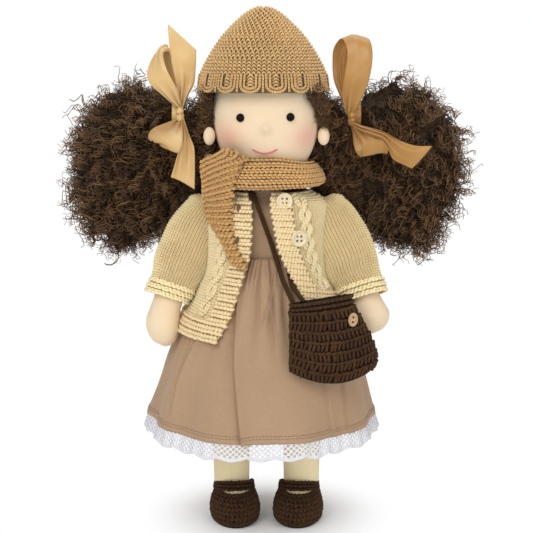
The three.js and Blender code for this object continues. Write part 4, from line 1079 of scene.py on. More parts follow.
def route_points(route, steps):
    """Points on a smooth curve through the route's own points, centripetal."""
    route = np.asarray(route, float)
    before = 2 * route[0] - route[1]
    after = 2 * route[-1] - route[-2]
    full = np.concatenate([[before], route, [after]])
    points = []
    for k in range(1, len(full) - 2):
        p = full[k - 1:k + 3]
        gaps = np.maximum(np.linalg.norm(np.diff(p, axis=0), axis=1) ** 0.5, 1e-4)
        t = np.concatenate([[0], np.cumsum(gaps)])
        for s in np.linspace(0, 1, steps, endpoint=False):
            x = t[1] + s * gaps[1]
            a = [(p[i] * (t[i + 1] - x) + p[i + 1] * (x - t[i])) / gaps[i] for i in range(3)]
            b = [(a[i] * (t[i + 2] - x) + a[i + 1] * (x - t[i])) / (t[i + 2] - t[i]) for i in range(2)]
            points.append((b[0] * (t[2] - x) + b[1] * (x - t[1])) / gaps[1])
    return np.array(points + [route[-1]])


def evenly(path, step):
    """The same line with points a fixed step apart."""
    run = run_of(path)
    places = np.linspace(0, run[-1], max(2, int(run[-1] / step)))
    return np.stack([np.interp(places, run, path[:, k]) for k in range(3)], -1), run[-1]


class MakeStrap(PieceOperator):
    """The bag's braided strap, round the neck under the scarf"""
    bl_idname = "doll.make_strap"
    bl_label = "Bag strap"

    def make(self):
        path, length = evenly(route_points(STRAP_ROUTE, 12), 0.75)
        ahead = unit(np.gradient(path, axis=0))
        side = unit(np.cross(ahead, path - [0, 0, 200] + [0.1, 0.2, 0]))
        for k in range(1, len(side)):
            side[k] = unit(side[k - 1] - ahead[k] * (side[k - 1] @ ahead[k]))
        up = np.cross(ahead, side)
        run = np.linspace(0, length, len(path))
        strands = []
        for k in range(3):
            turn = (run / 6.5 * TURN + k * TURN / 3)[:, None]
            strands.append(path + side * (1.05 * np.sin(turn)) + up * (0.55 * np.sin(2 * turn)))
        yarn = yarn_material("braided brown cotton yarn", colour("brown_yarn"), roughness=0.9,
                             bloom=0.03, lighter=1.5)
        strap = tubes_piece("bag_strap_braid", strands, 0.86, yarn, sides=6)
        settle(strap, "torso", "brown_yarn", "bag_strap")


def hem_rise(angle, drop):
    """How much higher the hem hangs at the sides than in front."""
    return 5.0 * np.abs(np.cos(angle)) ** 4 * drop ** 2


def hem_shift(drop):
    """How far the skirt swings to the left, as photographed."""
    return 3.8 * drop ** 1.5


def folds(angle):
    """The skirt's wide folds, about -1 to 1 round the hem."""
    return np.cos(angle * 10 + np.sin(angle * 2)) * 0.65 + np.cos(angle * 4 + 1) * 0.35


# Creases of the skirt: place round it, lean, width, height, and the drops where each starts and ends
CREASES = (
    (0.676, 0.050, 0.0090, 4.4, 0.0, 1.1), (0.782, -0.105, 0.0080, 2.6, 0.0, 0.42),
    (0.752, 0.040, 0.0070, 1.8, 0.0, 0.55), (0.725, -0.030, 0.0060, 1.6, 0.0, 0.3),
    (0.645, -0.060, 0.0090, 3.2, 0.1, 0.8), (0.600, 0.000, 0.0080, 2.6, 0.3, 0.95),
    (0.842, 0.020, 0.0120, 1.8, 0.05, 1.1), (0.900, -0.012, 0.0090, 1.8, 0.2, 1.1),
    (0.060, 0.010, 0.0090, 1.6, 0.15, 1.1), (0.170, -0.010, 0.0080, 1.8, 0.05, 1.1),
    (0.275, 0.006, 0.0090, 1.8, 0.1, 1.1), (0.385, 0.012, 0.0080, 1.8, 0.05, 1.1),
    (0.475, -0.008, 0.0090, 1.6, 0.2, 1.1),
)


class MakeDress(PieceOperator):
    """Bodice, gathered skirt with its hem band, and the lace below it"""
    bl_idname = "doll.make_dress"
    bl_label = "Dress"

    def make(self):
        cotton = woven_material("plain woven cotton", colour("dress"))
        self.bodice(cotton)
        self.skirt(cotton)
        self.hem_stitches()
        self.lace()

    def bodice(self, cotton):
        levels = np.concatenate([np.linspace(250.0, 238, 8), np.linspace(237, 198.5, 30)])
        level, angle = grid(levels, ring(150) * TURN)
        half = np.stack(torso_half(np.minimum(level, 241.5), 2.0))
        neck = smooth(level, 239, 244)
        half = half * (1 - neck) + 17.6 * neck
        x, y = half[0] * np.cos(angle), half[1] * np.sin(angle)
        waves = 0.5 * ripple(x, y, level * 0.5, 4, longest=26) * (1 - neck)
        gathers = 0.35 * np.cos(angle * 58 + np.sin(angle * 5)) * smooth(208 - level, 0, 9)
        grow = waves + gathers
        front = np.stack([x + grow * np.cos(angle), y + grow * np.sin(angle), level], -1)
        back = np.stack([x * 0.965, y * 0.95, level], -1)
        bodice = cloth_piece("dress_bodice_cotton", front, back, cotton, wrap=True)
        settle(bodice, "torso", "dress_cotton", "dress_bodice")

    def skirt_surface(self, around, drop):
        """around and drop from 0 to 1; the seat of the gathers is at the waist."""
        angle = around * TURN
        level = WAIST + 0.6 - drop * (WAIST + 0.6 - HEM + 0.4)
        half_width, half_depth = skirt_half(level)
        fold = 2.6 * smooth(drop, 0.35, 1) * folds(angle)
        gathers = (np.cos(angle * 66 + 2 * np.sin(angle * 7))
                   * np.exp(-((drop - 0.05) / 0.1) ** 2))
        pleats = (np.cos(angle * 31 + 1.5 * np.sin(angle * 5)) * 1.3
                  * np.exp(-((drop - 0.2) / 0.24) ** 2))
        creases, valleys = 0, 0
        for place, lean, width, height, top, bottom in CREASES:
            off = (around - place - lean * drop + 0.5) % 1 - 0.5
            fall_off = np.where(off > 0, np.exp(-off / width * 0.7),
                                np.exp(-(off / width * 3.2) ** 2))
            there = smooth(drop, top, top + 0.08) * (1 - smooth(drop, bottom - 0.15, bottom)) * height
            creases = creases + there * fall_off * 1.25
            valleys = valleys + there * np.exp(-((off / width + 0.42) / 0.3) ** 2)
        x, y = half_width * np.cos(angle), half_depth * np.sin(angle)
        grow = fold + gathers + pleats + creases + 0.45 * ripple(x, y, level * 0.4, 9, longest=34)
        seam = -0.9 * np.exp(-(drop / 0.012) ** 2)
        hem = 0.3 * smooth(drop, 0.945, 0.955)
        grow = grow + seam + hem
        # Painted shade for the material: on the steep side of each crease and in the hollows of the
        # gathers and pleats
        self.valleys = 0.13 * valleys + 0.3 * np.clip(-gathers - pleats, 0, 1) * (drop > 0.01)
        return np.stack([x + grow * np.cos(angle) - hem_shift(drop), y + grow * np.sin(angle),
                         level + hem_rise(angle, drop)], -1)

    def skirt(self, cotton):
        drops = np.concatenate([np.linspace(0, 0.08, 8)[:-1], np.linspace(0.08, 0.9, 34)[:-1],
                                np.linspace(0.9, 1, 9)])
        drop, around = grid(drops, ring(380))
        front = self.skirt_surface(around, drop)
        # Painted shade in the folds, kept as the deep attribute
        deep = np.clip(self.valleys, 0, 0.7)
        inward = grid_normals(front, wrap=True)
        inward *= np.sign(np.sum(inward[..., :2] * front[..., :2], -1, keepdims=True))
        skirt = cloth_piece("dress_skirt_cotton", front, front - inward, cotton, wrap=True)
        paint(skirt, "deep", [deep, deep])
        settle(skirt, BEND, "dress_cotton", "dress_skirt")

    def hem_stitches(self):
        """Two lines of topstitching above the hem, in the tree that sets a stitch on each point."""
        rows = Rows()
        for drop in (0.957, 0.972):
            at, out, up, _ = course(self.skirt_surface, drop, pitch=2.6)
            rows.add(at, out, -up, (1, 1, 1), lift=0.1)
        path = [[-0.8, 0, -0.1], [0, 0, 0.15], [0.8, 0, -0.1]]
        stitch = stitch_object("thread_stitch", [path], 0.22, sides=4)
        thread = yarn_material("sewing thread", tinted(colour("dress"), 0.8), roughness=0.6)
        settle(rows.grown("dress_hem_stitches", stitch, thread, seed=5), "lap", "dress_cotton")
        no_longer(stitch)

    def lace(self):
        """A scalloped net, every second hole of its middle rows open, with a cord at its edge."""
        scallops, across, rows = 26, 10, 9
        columns = scallops * across
        row, column = grid(np.arange(rows) / (rows - 1), np.arange(columns))
        angle = column / columns * TURN
        scallop = np.abs(np.sin(angle * scallops / 2)) ** 0.8
        level = HEM + 2.5 - row * (2.5 + 9.8 + 2.5 * scallop) + hem_rise(angle, 1.0)
        half_width, half_depth = skirt_half(np.full_like(level, HEM), 2 * row)
        fold = 2.6 * folds(angle)
        fold = fold + 0.6 * np.cos(angle * scallops * 2) * row - 1.6 + 1.2 * row
        points = np.stack([(half_width + fold) * np.cos(angle) - hem_shift(1.0),
                           (half_depth + fold) * np.sin(angle), level], -1)
        cotton = yarn_material("white cotton lace", colour("lace"), lighter=1.0, darker=0.9,
                               roughness=0.8)
        net = round_piece("lace_net", points, cotton)
        with reshaping(net) as shape:
            shape.faces.ensure_lookup_table()
            chosen = [shape.faces[r * columns + c] for r in range(2, 7) for c in range(columns)
                      if (c + r) % 2 == 0]
            bmesh.ops.inset_individual(shape, faces=chosen, thickness=0.00014, use_even_offset=True)
            bmesh.ops.delete(shape, geom=chosen, context="FACES_ONLY")
        thick = net.modifiers.new("thick", "SOLIDIFY")
        thick.thickness, thick.offset = 0.0008, 0
        net.data.shade_flat()
        settle(plain(net, "lace_trim_net"), "lap", "lace", "lace_trim")
        path, _ = evenly(np.concatenate([points[-1], points[-1][:1]]), 0.8)
        band = tubes_piece("lace_edge_cord", [path[:-1]], 0.75, cotton, sides=6, closed=True)
        settle(band, "lap", "lace")


def head_depth(x, z):
    """How far forward the face stands at a point in front view."""
    a, b, c = HEAD_HALF
    return -b * np.sqrt(np.maximum(0, 1 - (x / a) ** 2 - ((z - HEAD_MIDDLE) / c) ** 2))


def spot(x, z, place, width, height):
    """A soft spot, 1 at its middle."""
    return np.exp(-((x - place[0]) / width) ** 2 - ((z - place[1]) / height) ** 2)


class MakeHead(PieceOperator):
    """Stuffed jersey head with its nose, ears, bead eyes and stitched mouth"""
    bl_idname = "doll.make_head"
    bl_label = "Head"

    def make(self):
        skin = jersey_material("stuffed cotton jersey", colour("skin"), blush=colour("blush"))
        points = egg(HEAD, HEAD_HALF, 120, 160)
        x, y, z = np.moveaxis(points, -1, 0)
        nose = spot(x, z, (-0.3, 294.6), 3.7, 3.5) * 3.6
        cheeks = sum(spot(x, z, (s * 25, 288), 11, 11) for s in (-1, 1)) * 1.3
        sockets = sum(spot(x, z, (s * 17.5, 301.5), 5, 4.5) for s in (-1, 1)) * -0.8
        points[..., 1] -= (nose + cheeks + sockets) * smooth(-y, 10, 28)
        head = round_piece("head_jersey", points, skin)
        x, y, z = points_of(head).T
        blush = sum(spot(x, z, (s * 28, 288), 10.5, 9) for s in (-1, 1))
        paint(head, "blush", np.clip(blush * 0.5 * (y < 0), 0, 1))
        settle(head, "head", "skin_jersey", "head", padded=0.95)
        bead = smooth_material("black plastic bead", (0.0015, 0.0014, 0.0013, 1), 0.4, gloss=0.12)
        for side, (x, z) in EYES.items():
            ear = soft_copy("ear_" + side, "ear_jersey_" + side, skin, voxel=0.8, rounds=4)
            settle(ear, "head", "skin_jersey", "ear_" + side)
            ball = egg(np.array([x, head_depth(x, z) + 0.1, z]), (3.0, 2.6, 3.0), 20, 28)
            settle(round_piece("eye_bead_" + side, ball, bead), "head", "eye_bead", "eye_" + side)
        self.mouth()

    def mouth(self):
        x = np.linspace(-9.8, 7.4, 26)
        z = 279.8 - 3.0 * (1 - ((x + 1.2) / 8.8) ** 2)
        path = np.stack([x, head_depth(x, z) - 0.75, z], -1)
        thread = yarn_material("pink embroidery cotton", colour("mouth"), fibre=0.3, roughness=0.6)
        settle(tubes_piece("mouth_thread", [path], 0.55, thread, sides=6), "head", "skin_jersey")


def curl_kinds():
    """Locks one unit long, of a few strands that coil up together from the root, in a collection; each
    point is painted with its nearness to the root, for painted shade.
    """
    kinds = bpy.data.collections.new("curl kinds")
    rng = np.random.default_rng(3)
    t = np.linspace(0, 1, LOCK_POINTS)
    # Painted shade: 1 at the root of each strand, 0 at its tip
    deep = np.concatenate([np.repeat(1 - t, LOCK_SIDES), [1, 0]] * LOCK_STRANDS) ** 1.2
    for k in range(CURL_KINDS):
        turns = 1.4 + 1.2 * rng.random()
        wide = 0.09 + 0.07 * rng.random()
        bend = 0.6 * (rng.random(2) - 0.5)
        strands = []
        for strand in range(LOCK_STRANDS):
            radius = wide * (0.7 + 0.7 * rng.random()) * np.minimum(1, t * 3)
            turn = turns * (0.8 + 0.4 * rng.random()) * t * TURN + strand * 1.3
            rise = t ** 0.9 * (0.6 + 0.5 * rng.random())
            strands.append(np.stack([radius * np.cos(turn) + bend[0] * t * t,
                                     radius * np.sin(turn) + bend[1] * t * t, rise], -1) * 1000)
        curl = mesh_piece("curl_%d" % k, *tubes(strands, 20.5 * (1 - 0.5 * t), LOCK_SIDES))
        paint(curl, "deep", deep)
        bpy.context.scene.collection.objects.unlink(curl)
        kinds.objects.link(curl)
    return kinds


def clear_of_ribbons(piece, ribbons):
    """Takes away the locks of hair that reach through or over the satin ribbons."""
    points = points_of(piece) * MM
    eye = Vector(CAMERA_PLACE)
    trees = []
    for ribbon in ribbons:
        shape = bmesh.new()
        shape.from_mesh(ribbon.data)
        trees.append(BVHTree.FromBMesh(shape))
        shape.free()
    low = np.min([np.array(r.bound_box).min(axis=0) for r in ribbons], axis=0) - 0.003
    high = np.max([np.array(r.bound_box).max(axis=0) for r in ribbons], axis=0) + 0.003
    each = LOCK_STRANDS * (LOCK_POINTS * LOCK_SIDES + 2)
    gone = np.zeros(len(points), bool)
    for start in range(0, len(points) // each * each, each):
        own = points[start:start + each:4]
        x, y, z = own.T
        near = (x > low[0]) & (x < high[0]) & (z > low[2]) & (z < high[2]) & (y < high[1])
        for place in map(Vector, own[near]):
            ahead = (place - eye).normalized()
            if any(tree.find_nearest(place, NEAR_RIBBON)[0]
                   or tree.ray_cast(place, ahead, BEFORE_RIBBON)[0] for tree in trees):
                gone[start:start + each] = True
                break
    with reshaping(piece) as shape:
        shape.verts.ensure_lookup_table()
        bmesh.ops.delete(shape, geom=[shape.verts[i] for i in np.flatnonzero(gone)], context="VERTS")
    return piece


class MakeHair(PieceOperator):
    """Curled hair: a cap round the face and a bunch on either side"""
    bl_idname = "doll.make_hair"
    bl_label = "Hair"

    def make(self):
        self.hair, self.felt, self.kinds = hair_material(), felted_material(), curl_kinds()
        self.ribbons = [bpy.data.objects[name + side] for name in ("bow_ribbon_", "bow_tie_")
                        for side, _ in SIDES]
        self.cap()
        for side, sign in SIDES:
            self.bunch(side, sign)
        no_longer(*self.kinds.objects)
        bpy.data.collections.remove(self.kinds)

    def rooted(self, base, name, curls, away, seed, lift, tousle, length):
        """Locks all over a piece's surface, combed away from a place in millimetres."""
        area = sum(face.area for face in base.data.polygons)
        return grown(linked(name + "_roots", base.data.copy()), "curls on a surface", name,
                     Curls=self.kinds, Curls_to_the_square_metre=curls / area, Curl_length=length,
                     Unevenness=0.35, Lift=lift, Tousle=tousle,
                     Combed_from=tuple(c * MM for c in away), Seed=seed, Hair=self.hair)

    def cap(self):
        base = soft_copy("hair_cap", "hair_cap_base", self.felt, voxel=2.4, rounds=4)
        points = points_of(base) - normals_of(base) * 1.8
        reach = np.linalg.norm((points - HEAD) / HEAD_HALF, axis=1)[:, None]
        front = smooth(-points[:, 1:2], 0, 8)
        move_points(base, HEAD + (points - HEAD) * (1 - front + front * np.minimum(1, 1.02 / reach)))
        roots = linked("cap_roots", base.data.copy())
        with reshaping(roots) as shape:
            hidden = []
            for face in shape.faces:
                x, y, z = (c / MM for c in face.calc_center_median())
                under_hat = z > HAT_RIM + 1 and math.hypot(x - HAT_MIDDLE[0], y - HAT_MIDDLE[1]) < 47
                inwards = face.normal.dot(Vector((x, y, z - HEAD_MIDDLE))) < 0 and abs(x) < 44
                if under_hat or inwards or z < 262 and y < 6:
                    hidden.append(face)
            bmesh.ops.delete(shape, geom=hidden, context="FACES")
        locks = self.rooted(roots, "hair_cap_curls", 740, (0, -40, 335), 11, 0.35, 0.55, 0.014)
        no_longer(roots)
        self.crown()
        settle(base, "head", "hair", "hair_cap")
        settle(clear_of_ribbons(locks, self.ribbons), "head", "hair")
        for side, sign in SIDES:
            self.front_locks(side, sign)
            self.lower_mass(side, sign)

    def crown(self):
        """Short flat locks over the top of the head, which show once the hat is off."""
        low = math.asin((HAT_RIM + 3.5 - HEAD_MIDDLE) / HEAD_HALF[2])
        dome = egg(HEAD, [half + 1.3 for half in HEAD_HALF], 14, 48, low)
        middle = dome[0].mean(axis=0)
        floor = [middle + (dome[:1] - middle) * share for share in (0, 0.9)]
        base = round_piece("hair_crown_base", np.concatenate([*floor, dome]), self.felt)
        strip = facing(round_piece("crown_roots", dome), Vector((0, 0, 1)))
        locks = self.rooted(strip, "hair_crown_curls", 360, (0, -25, 285), 51, 0.12, 0.25, 0.0085)
        no_longer(strip)
        settle(base, "head", "hair")
        settle(locks, "head", "hair")

    def front_locks(self, side, sign):
        """Short locks that frame the face, rooted on a narrow strip along the hairline."""
        x, z, y = route_points(HAIRLINES[side], 6).T
        reach = np.hypot(x, y)
        rows = []
        for back in np.linspace(-1.8, 12, 5):
            turn = np.arctan2(-y, np.abs(x)) - back / 38
            rows.append(np.stack([sign * reach * np.cos(turn), -reach * np.sin(turn), z], -1))
        strip = facing(mesh_piece("front_strip", np.array(rows), grid_faces(5, len(x))),
                       Vector((sign, 0, 0)))
        locks = self.rooted(strip, "hair_front_" + side, 190, (0, -50, 340), 31, 0.5, 0.6, 0.010)
        no_longer(strip)
        settle(clear_of_ribbons(locks, self.ribbons), "head", "hair")

    def lower_mass(self, side, sign):
        """The hair beside the neck, under the bunch's tie."""
        ball = egg(np.array([sign * 47, 15, 262]), (18, 11, 23), 16, 26)
        base = round_piece("hair_lower_base_" + side, ball, self.felt)
        locks = self.rooted(base, "hair_lower_" + side, 230, (sign * 40, 0, 310), 41, 0.4, 0.6, 0.010)
        settle(base, "head", "hair")
        settle(clear_of_ribbons(locks, self.ribbons), "head", "hair")

    def bunch(self, side, sign):
        base = soft_copy("bunch_" + side, "bunch_base_" + side, self.felt, voxel=2.2, rounds=9)
        points = points_of(base)
        outer = smooth(np.abs(points[:, 0]), 72, 90)
        lumps = ripple(*points.T, 40 + sign, count=7, longest=30)
        fuller = (5.0 * smooth(-points[:, 2], -262, -245)
                  * smooth(-np.abs(points[:, 0]), -100, -82))
        fuller = fuller + 1.3 * ripple(*points.T, 60 + sign, count=18, longest=9)
        inset = (5.0 + 3.0 * lumps) * outer - fuller
        move_points(base, points - normals_of(base) * inset[:, None])
        own = [ribbon for ribbon in self.ribbons if ribbon.name.endswith(side)]
        for k in range(3):
            curls = self.rooted(base, "bunch_curls_%s_%d" % (side, k + 1), sizes().curls / 3,
                                (sign * 58, 0, 325), 20 + k + (sign > 0) * 10, 0.3 + 0.2 * k,
                                0.5 + 0.15 * k, sizes().curl * (1 - 0.1 * k))
            settle(clear_of_ribbons(curls, own), "bunch_" + side, "hair")
        settle(base, "bunch_" + side, "hair", "bunch_" + side)


def hat_surface(around, share):
    """The crown: share is the height from rim to top."""
    angle = around * TURN
    radius = read_shares(HAT_SHARES, share)[..., 0] * HAT_SIZE[0] / 2
    ahead = (angle / TURN - 0.75 + 0.5) % 1.0 - 0.5
    dent = 5.0 * spot(ahead, share, (0, 0.57), 0.085, 0.13)
    fold = 1.0 * spot(ahead, share, (-0.02, 0.36), 0.12, 0.09)
    slack = 1.3 * np.sin(math.pi * np.clip(share, 0, 1)) * np.cos(2 * angle + 0.7)
    radius = radius - dent + fold + slack
    return np.stack([HAT_MIDDLE[0] + radius * np.cos(angle), HAT_MIDDLE[1] + radius * np.sin(angle),
                     HAT_RIM + share * HAT_SIZE[1]], -1)


class MakeHat(PieceOperator):
    """Knitted hat: a purl crown in wavy rows over a ribbed brim"""
    bl_idname = "doll.make_hat"
    bl_label = "Hat"

    def make(self):
        wool = yarn_material("tan wool", colour("tan_yarn"))
        inner = yarn_material("tan wool in the shade of the stitches",
                              tinted(colour("tan_yarn"), 0.2))
        shares = np.concatenate([np.linspace(0, 0.9, 40), [0.93, 0.96, 0.98, 0.995]])
        share, around = grid(shares, ring(96))
        outer = drawn_in(hat_surface(around, share), HAT_MIDDLE, 0.985)
        inside = drawn_in(outer, HAT_MIDDLE, 0.96)
        inside[..., 2] -= 1.6 * share
        cloth = cloth_piece("hat_cloth", outer, inside, inner, wrap=True)
        settle(cloth, "hat", "tan_yarn", "hat")
        self.crown(wool)
        self.brim(wool)

    def crown(self, wool):
        width, height = sizes().hat_stitch / MM, sizes().hat_row / MM
        shares = np.linspace(0.205, 0.995, 400)
        run = run_of(hat_surface(np.zeros(400), shares))
        rows = Rows()
        count = int(run[-1] / height)
        for k in range(count):
            share = np.interp((k + 0.5) * run[-1] / count, run, shares)
            at, out, up, space = course(hat_surface, share, HAT_MIDDLE, pitch=width,
                                        shift=0.5 * (k % 2))
            rows.add(at, out, up, (space / width, 1, 1), lift=0.2)
        stitch = wave_stitch(width, 0.85, 0.74)
        settle(rows.grown("hat_crown_knit", stitch, wool, seed=2), "hat", "tan_yarn")
        no_longer(stitch)

    def brim(self, wool):
        """Sixteen ribs of plain stitches; between them hollow cells of purl with rounded feet."""
        purls, ribs = Rows(), Rows()
        groups, low, high, round_at = 16, 0.01, 0.21, 0.085
        arc = np.linspace(0, math.pi, 15)
        climb = np.linspace(0, 1, 8)[:, None] * [0, 1]
        for g in range(groups):
            lines = [climb * [0, high - low - 0.004] + [g, low + 0.004]]
            for half, foot in ((0.375, low), (0.235, low + 0.038)):
                bottom = np.stack([-half * np.cos(arc), round_at - (round_at - foot) * np.sin(arc)], -1)
                sides = [climb[::-1] * [0, high - round_at] + [-half, round_at],
                         climb * [0, high - round_at] + [half, round_at]]
                line = np.concatenate([sides[0][:-1], bottom, sides[1][1:]])
                lines.append(line + [g + 0.5, 0])
            for line in lines:
                chain(ribs, hat_surface, line[:, 0] / groups, line[:, 1], 1.9, HAT_MIDDLE, lift=0.8)
            for r in range(4):
                share, u = low + 0.075 + r * 0.036, np.array([g + 0.5]) / groups
                at, out, up = surface_frames(hat_surface, u, np.full_like(u, share), HAT_MIDDLE)
                purls.add(at, out, up, (1, 1, 1), lift=-0.2)
        purl = wave_stitch(5.0, 0.8, 0.8)
        rib = knit_stitch(1.9, 1.9, 0.56, sides=4)
        settle(purls.grown("hat_brim_knit", purl, wool, seed=3), "hat", "tan_yarn")
        settle(ribs.grown("hat_brim_ribs", rib, wool, seed=4, wobble=0.03), "hat", "tan_yarn")
        no_longer(purl, rib)


class MakeBows(PieceOperator):
    """Satin ribbon bows on the hair bunches"""
    bl_idname = "doll.make_bows"
    bl_label = "Bows"

    def make(self):
        names = ("paler gold satin ribbon", "pale_satin"), ("gold satin ribbon", "satin")
        for (side, sign), (name, base) in zip(SIDES, names):
            satin = satin_material(name, colour(base))
            self.bow(side, satin)
            self.knot(side, satin)
            self.band(side, sign, satin)

    def ribbon(self, name, stations, material, seed):
        """A ribbon through stations, each the two edges of the ribbon at one place along it."""
        stations = np.array(stations, float)
        one, other = (route_points(stations[:, k:k + 3], 9) for k in (0, 3))
        middle, width = (one + other) / 2, np.linalg.norm(other - one, axis=1)[:, None]
        ahead = unit(np.gradient(middle, axis=0))
        out = unit(np.cross(unit(other - one), ahead))
        c = np.linspace(-1, 1, 25)[None]
        run = run_of(middle)[:, None]
        narrow = np.clip(1 - width / (sizes().ribbon / MM), 0, 1)
        crease = narrow ** 0.8 * (1.1 * np.cos(c * math.pi * 2.3 + seed)
                                  + 0.5 * np.cos(c * math.pi * 4.2 + 2 * seed))
        soft = 0.5 * np.sin(run / 9 + c * 2.4 + seed) + 0.35 * np.cos(run / 5.5 - c * 3 + seed)
        lift = crease + soft + 1.3 * (1 - c ** 2) * (1 - narrow)
        points = (one[:, None] + (other - one)[:, None] * ((c + 1) / 2)[..., None]
                  + out[:, None] * lift[..., None])
        half = grid_normals(points) * 0.25
        piece = cloth_piece(name, points + half, points - half, material)
        # Painted shade: darker in the creases and where the ribbon turns and looks narrow
        valley = 0.5 + 0.5 * np.tanh(-crease * 1.6)
        deep = 0.75 * narrow ** 0.7 * valley + 0.12 * valley + 0.25 * narrow
        # Painted shade darkening the whole lower loop of the left bow
        if name == "lower_loop_left":
            deep = deep + (0.4 + 0.25 * np.cos(c * 2.2 + run / 7)) * 1.25
        deep = np.clip(deep, 0, 0.85)
        paint(piece, "deep", [deep, deep])
        return piece, run[-1, 0]

    def bow(self, side, satin):
        pieces, length = [], 0
        for seed, (label, stations) in enumerate(BOWS[side].items()):
            piece, own = self.ribbon("%s_%s" % (label, side), stations, satin, seed + 1.0)
            pieces.append(piece)
            length += own
        bow = joined("bow_ribbon_" + side, pieces)
        settle(bow, "bunch_" + side, "satin", *["bow_%s_%s" % (label, side) for label in BOWS[side]])
        round(sizes().ribbon, 4)

    def knot(self, side, satin):
        knot = np.array(KNOTS[side])
        tilt, turn = grid(np.linspace(-math.pi / 2, math.pi / 2, 40), ring(48) * TURN)
        waist = 1 - 0.22 * np.exp(-((tilt - 0.15 * np.sin(turn)) / 0.16) ** 2)
        grow = waist * (1 + 0.06 * np.cos(turn * 5 + np.sin(tilt * 3)) * np.cos(tilt))
        ball = knot + np.stack([3.0 * np.cos(tilt) ** 0.7 * np.sin(turn) * grow,
                                -4.4 * np.cos(tilt) ** 0.7 * np.cos(turn) * grow,
                                5.6 * np.sin(tilt)], -1)
        piece = round_piece("bow_tie_" + side, ball, satin)
        # Painted shade at the knot's pinched middle and towards its ends
        height = (points_of(piece)[:, 2] - knot[2]) / 5.6
        paint(piece, "deep", 0.55 * np.exp(-(height / 0.18) ** 2) + 0.5 * height ** 4)
        settle(piece, "bunch_" + side, "satin", "bow_knot_" + side)

    def band(self, side, sign, satin):
        """The ribbon's turns round the bunch's tie."""
        along, turn = grid([-3.6, -3.2, -1.6, 0, 1.6, 3.2, 3.6], ring(96) * TURN)
        radius = np.array([8.7, 9.5, 9.85, 9.5, 9.85, 9.5, 8.7])[:, None]
        radius = radius + 0.25 * np.cos(turn * 11 + along)
        outer = np.stack([sign * TIE[0] + along, TIE[1] + radius * np.cos(turn),
                          TIE[2] + radius * np.sin(turn)], -1)
        inner = outer.copy()
        inner[..., 1:] = TIE[1:] + unit(outer[..., 1:] - TIE[1:]) * 8.3
        settle(cloth_piece("bow_band_" + side, outer, inner, satin, wrap=True),
               "bunch_" + side, "satin")


def cream_shade():
    name = "cream wool in the shade of the stitches"
    return bpy.data.materials.get(name) or yarn_material(
        name, tinted(colour("cream_yarn"), 0.72, 0.56, 0.36), bloom=0.05)


def clear_of_arms(at):
    """Where the cardigan's body goes on; its sleeves are knitted by themselves."""
    fall = (CARDIGAN_TOP - at[:, 2]) / CARDIGAN_LENGTH
    return ~((np.abs(at[:, 0]) > 46.5) & (fall < ARMHOLE_FALL))


